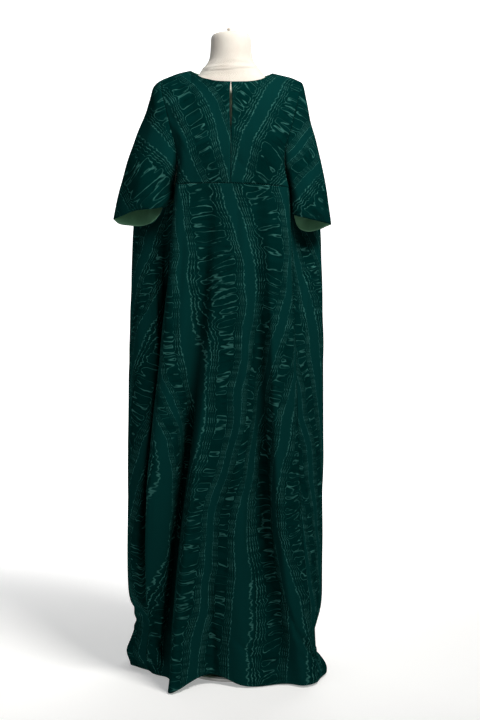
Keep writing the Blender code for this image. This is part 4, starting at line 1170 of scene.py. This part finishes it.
    def skirt_creases(self, grid: Array, first: int, last: int) -> tuple[Crease, ...]:
        """The creases that lie on a piece between two fold lines, with their paths as shares of its grid.

        Args:
            grid: the piece.
            first: its first fold line.
            last: its last fold line.

        Returns:
            The creases.
        """
        rows, columns = grid.shape[:2]
        out = []
        for path, depth, width, start, end in self.skirt_table:
            if not all(first <= place <= last for place, _ in path):
                continue
            shares = []
            for place, height in path:
                c = (place - first) / (last - first)
                column = grid[:, round(c * (columns - 1)), 2]
                shares.append((c, float(np.interp(-height, -column, np.arange(rows))) / (rows - 1)))
            out.append(Crease(tuple(shares), depth / 1000, width / 1000, (start, end)))
        return tuple(out)

    @staticmethod
    def bodice_creases() -> tuple[Crease, ...]:
        """Slack folds of a bodice half: from the shoulder to the bust, and in from the armhole."""
        table = (
            (((0.22, 0.10), (0.30, 0.30), (0.42, 0.52)), 1.6, 13),
            (((0.04, 0.40), (0.18, 0.50), (0.34, 0.66)), 1.8, 9),
            (((0.03, 0.56), (0.16, 0.66), (0.30, 0.82)), 1.6, 8),
            (((0.02, 0.26), (0.12, 0.34), (0.22, 0.46)), -1.4, 9),
            (((0.97, 0.72), (0.86, 0.80), (0.72, 0.88)), 1.2, 9),
            (((0.55, 0.98), (0.52, 0.86), (0.55, 0.74)), 1.2, 10),
        )
        return tuple(Crease(path, depth / 1000, width / 1000, (0.3, 0.5)) for path, depth, width in table)

    @staticmethod
    def sleeve_creases() -> tuple[Crease, ...]:
        """Slack folds of a sleeve: falling from the shoulder to the hem, in front and behind."""
        table = (
            (((0.42, 0.12), (0.40, 0.50), (0.38, 0.94)), 2.6, 13),
            (((0.33, 0.20), (0.29, 0.60), (0.28, 0.98)), -2.4, 12),
            (((0.25, 0.15), (0.20, 0.55), (0.19, 0.96)), 2.8, 12),
            (((0.13, 0.20), (0.10, 0.60), (0.10, 0.95)), -2.0, 10),
            (((0.58, 0.14), (0.61, 0.50), (0.62, 0.94)), 2.6, 13),
            (((0.70, 0.22), (0.73, 0.60), (0.74, 0.97)), -2.4, 12),
            (((0.80, 0.18), (0.84, 0.60), (0.85, 0.95)), 2.4, 11),
        )
        return tuple(Crease(path, depth / 1000, width / 1000, (0.3, 0.15)) for path, depth, width in table)

    def build(self) -> None:
        """Build every piece: share the seams' normals, press the creases, and dress the cloth."""
        wrong_side = WrongSide().build()
        pieces = self.pieces()
        join_seams(pieces)
        for piece in pieces:
            piece.settle(self.form)
            piece.smooth_normals()
        for piece in pieces:
            piece.build(wrong_side)


def join_seams(pieces: Sequence[Cloth]) -> None:
    """Turn the normals of pieces that meet at a seam to their mean there, unless the cloth folds sharply."""
    names = ("top", "bottom", "left", "right")
    rims = [(piece.name, edge, piece.grid[Cloth.edge(edge)], piece.normal[Cloth.edge(edge)].copy())
            for piece in pieces for edge in names]
    for piece in pieces:
        for edge in names:
            at = Cloth.edge(edge)
            total = piece.normal[at].copy()
            mine = total.copy()
            for owner, other, points, facing in rims:
                if (owner, other) == (piece.name, edge):
                    continue
                gap = np.linalg.norm(piece.grid[at][:, None] - points[None], axis=2)
                k = gap.argmin(axis=1)
                meet = (gap[np.arange(len(k)), k] < 0.0035) & ((facing[k] * mine).sum(axis=1) > -0.1)
                total += facing[k] * meet[:, None]
            piece.normal[at] = total / np.linalg.norm(total, axis=1, keepdims=True)


# ---------------------------------------------------------------- studio
@dataclass
class Studio:
    """Pale sweep of floor and wall, large soft lamps and the camera in front."""

    camera_at: Point = (0.022, -3.542, 1.067)
    pitch: float = -1.89
    lens: float = 71.8
    shift: float = -0.10
    paper: Colour = (0.86, 0.86, 0.85)

    def sweep(self) -> None:
        """A sheet of pale paper: flat floor that curves up into a wall behind, carried sideways."""
        size = (90, 24)
        profile = through(((-7.0, 0.0), (-2.0, 0.0), (2.0, 0.0), (5.8, 0.0), (6.8, 0.30), (7.2, 1.2),
                           (7.25, 3.0), (7.25, 6.5)), size[0])
        profile[:, 1] = np.maximum(profile[:, 1], 0.0) - 0.0006
        across = np.linspace(6.0, -6.0, size[1])
        grid = np.stack([np.broadcast_to(part, size) for part in (across, profile[:, :1], profile[:, 1:])],
                        axis=2)
        mesh = bpy.data.meshes.new("paper_sweep")
        mesh.from_pydata(grid.reshape(-1, 3).tolist(), [], quads(*size).tolist())
        mesh.polygons.foreach_set("use_smooth", np.ones(len(mesh.polygons), bool))
        paper = bpy.data.objects.new("paper_sweep", mesh)
        g = Graph("studio_paper")
        tone = g.steps(g.object_cloud((3.0, 3.0, 3.0), 2.0), 0.3, 0.7)
        colour = g.blend(tone, self.paper, tuple(0.98 * c for c in self.paper))
        split = g.node("ShaderNodeSeparateXYZ")
        g.feed(split.inputs[0], g.node("ShaderNodeTexCoord").outputs["Object"])
        glow = g.steps(split.outputs[1], 0.2, 2.4, (0.32, 0.95))
        mesh.materials.append(g.dress(Base_Color=colour, Roughness=0.9, Emission_Color=(1.0, 1.0, 1.0),
                                      Emission_Strength=glow))
        bpy.context.scene.collection.objects.link(paper)

    def lamp(self, name: str, at: Point, aim: Point, size: float, power: float, colour: Colour,
             spread: float = 180.0) -> None:
        """A square area lamp.

        Args:
            name: the lamp's name.
            at: where it stands.
            aim: what it points at.
            size: its side in metres.
            power: watts.
            colour: its light.
            spread: degrees its beam opens.
        """
        data = bpy.data.lights.new(name, "AREA")
        data.size = size
        data.energy = power
        data.color = colour
        data.spread = math.radians(spread)
        lamp = bpy.data.objects.new(name, data)
        lamp.location = at
        way = np.array(at) - np.array(aim)
        lamp.rotation_euler = (math.acos(way[2] / np.linalg.norm(way)), 0.0, math.atan2(way[0], -way[1]))
        bpy.context.scene.collection.objects.link(lamp)

    def build(self) -> None:
        """Set up the sweep, lamps, surroundings and camera."""
        scene = bpy.context.scene
        scene.view_settings.view_transform = "Standard"
        self.sweep()
        self.lamp("key", (1.4, -1.9, 3.6), (0.0, 0.0, 1.7), 1.2, 32.0, (1.0, 0.98, 0.95), 70.0)
        self.lamp("fill", (-2.8, -2.4, 1.7), (0.0, 0.0, 0.8), 2.4, 14.0, (0.94, 0.97, 1.0))
        self.lamp("back", (0.9, 3.2, 3.0), (0.0, 0.0, 1.1), 2.0, 26.0, (1.0, 0.99, 0.97))
        world = bpy.data.worlds.new("soft_room")
        world.use_nodes = True
        sky = world.node_tree.nodes["Background"]
        sky.inputs["Color"].default_value = (0.95, 0.97, 1.0, 1.0)
        sky.inputs["Strength"].default_value = 0.12
        scene.world = world
        data = bpy.data.cameras.new("camera")
        data.lens = self.lens
        data.sensor_width = 36.0
        data.shift_y = self.shift
        camera = bpy.data.objects.new("camera", data)
        camera.location = self.camera_at
        camera.rotation_euler = (math.radians(90.0 + self.pitch), 0.0, 0.0)
        scene.collection.objects.link(camera)
        scene.camera = camera


def dress_hardware() -> None:
    """Give the wire hook, the eye, the pole and the plate their metal finishes."""
    wire = Metal("dark_hook_wire", (0.060, 0.058, 0.055), (900.0, 900.0, 4000.0), 0.40).build()
    steel = Metal("satin_steel_turned", (0.560, 0.555, 0.540), (14.0, 14.0, 900.0), 0.34).build()
    dressed = (("neck_hook", wire), ("neck_eye", wire), ("stand_pole", steel), ("stand_base", steel))
    for name, finish in dressed:
        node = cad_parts[name]
        node.data.materials.clear()
        node.data.materials.append(finish)
        log.info("%s: %s", name, finish.name)


def main() -> None:
    """Build the form, the kaftan, the hardware's finishes and the studio, and note the sizes."""
    logging.basicConfig(level=logging.INFO, format="%(name)s %(message)s")
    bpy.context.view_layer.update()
    form = DressForm()
    form.build(Jersey().build())
    Kaftan(form).build()
    dress_hardware()
    Studio().build()


if __name__ == "__main__":
    main()
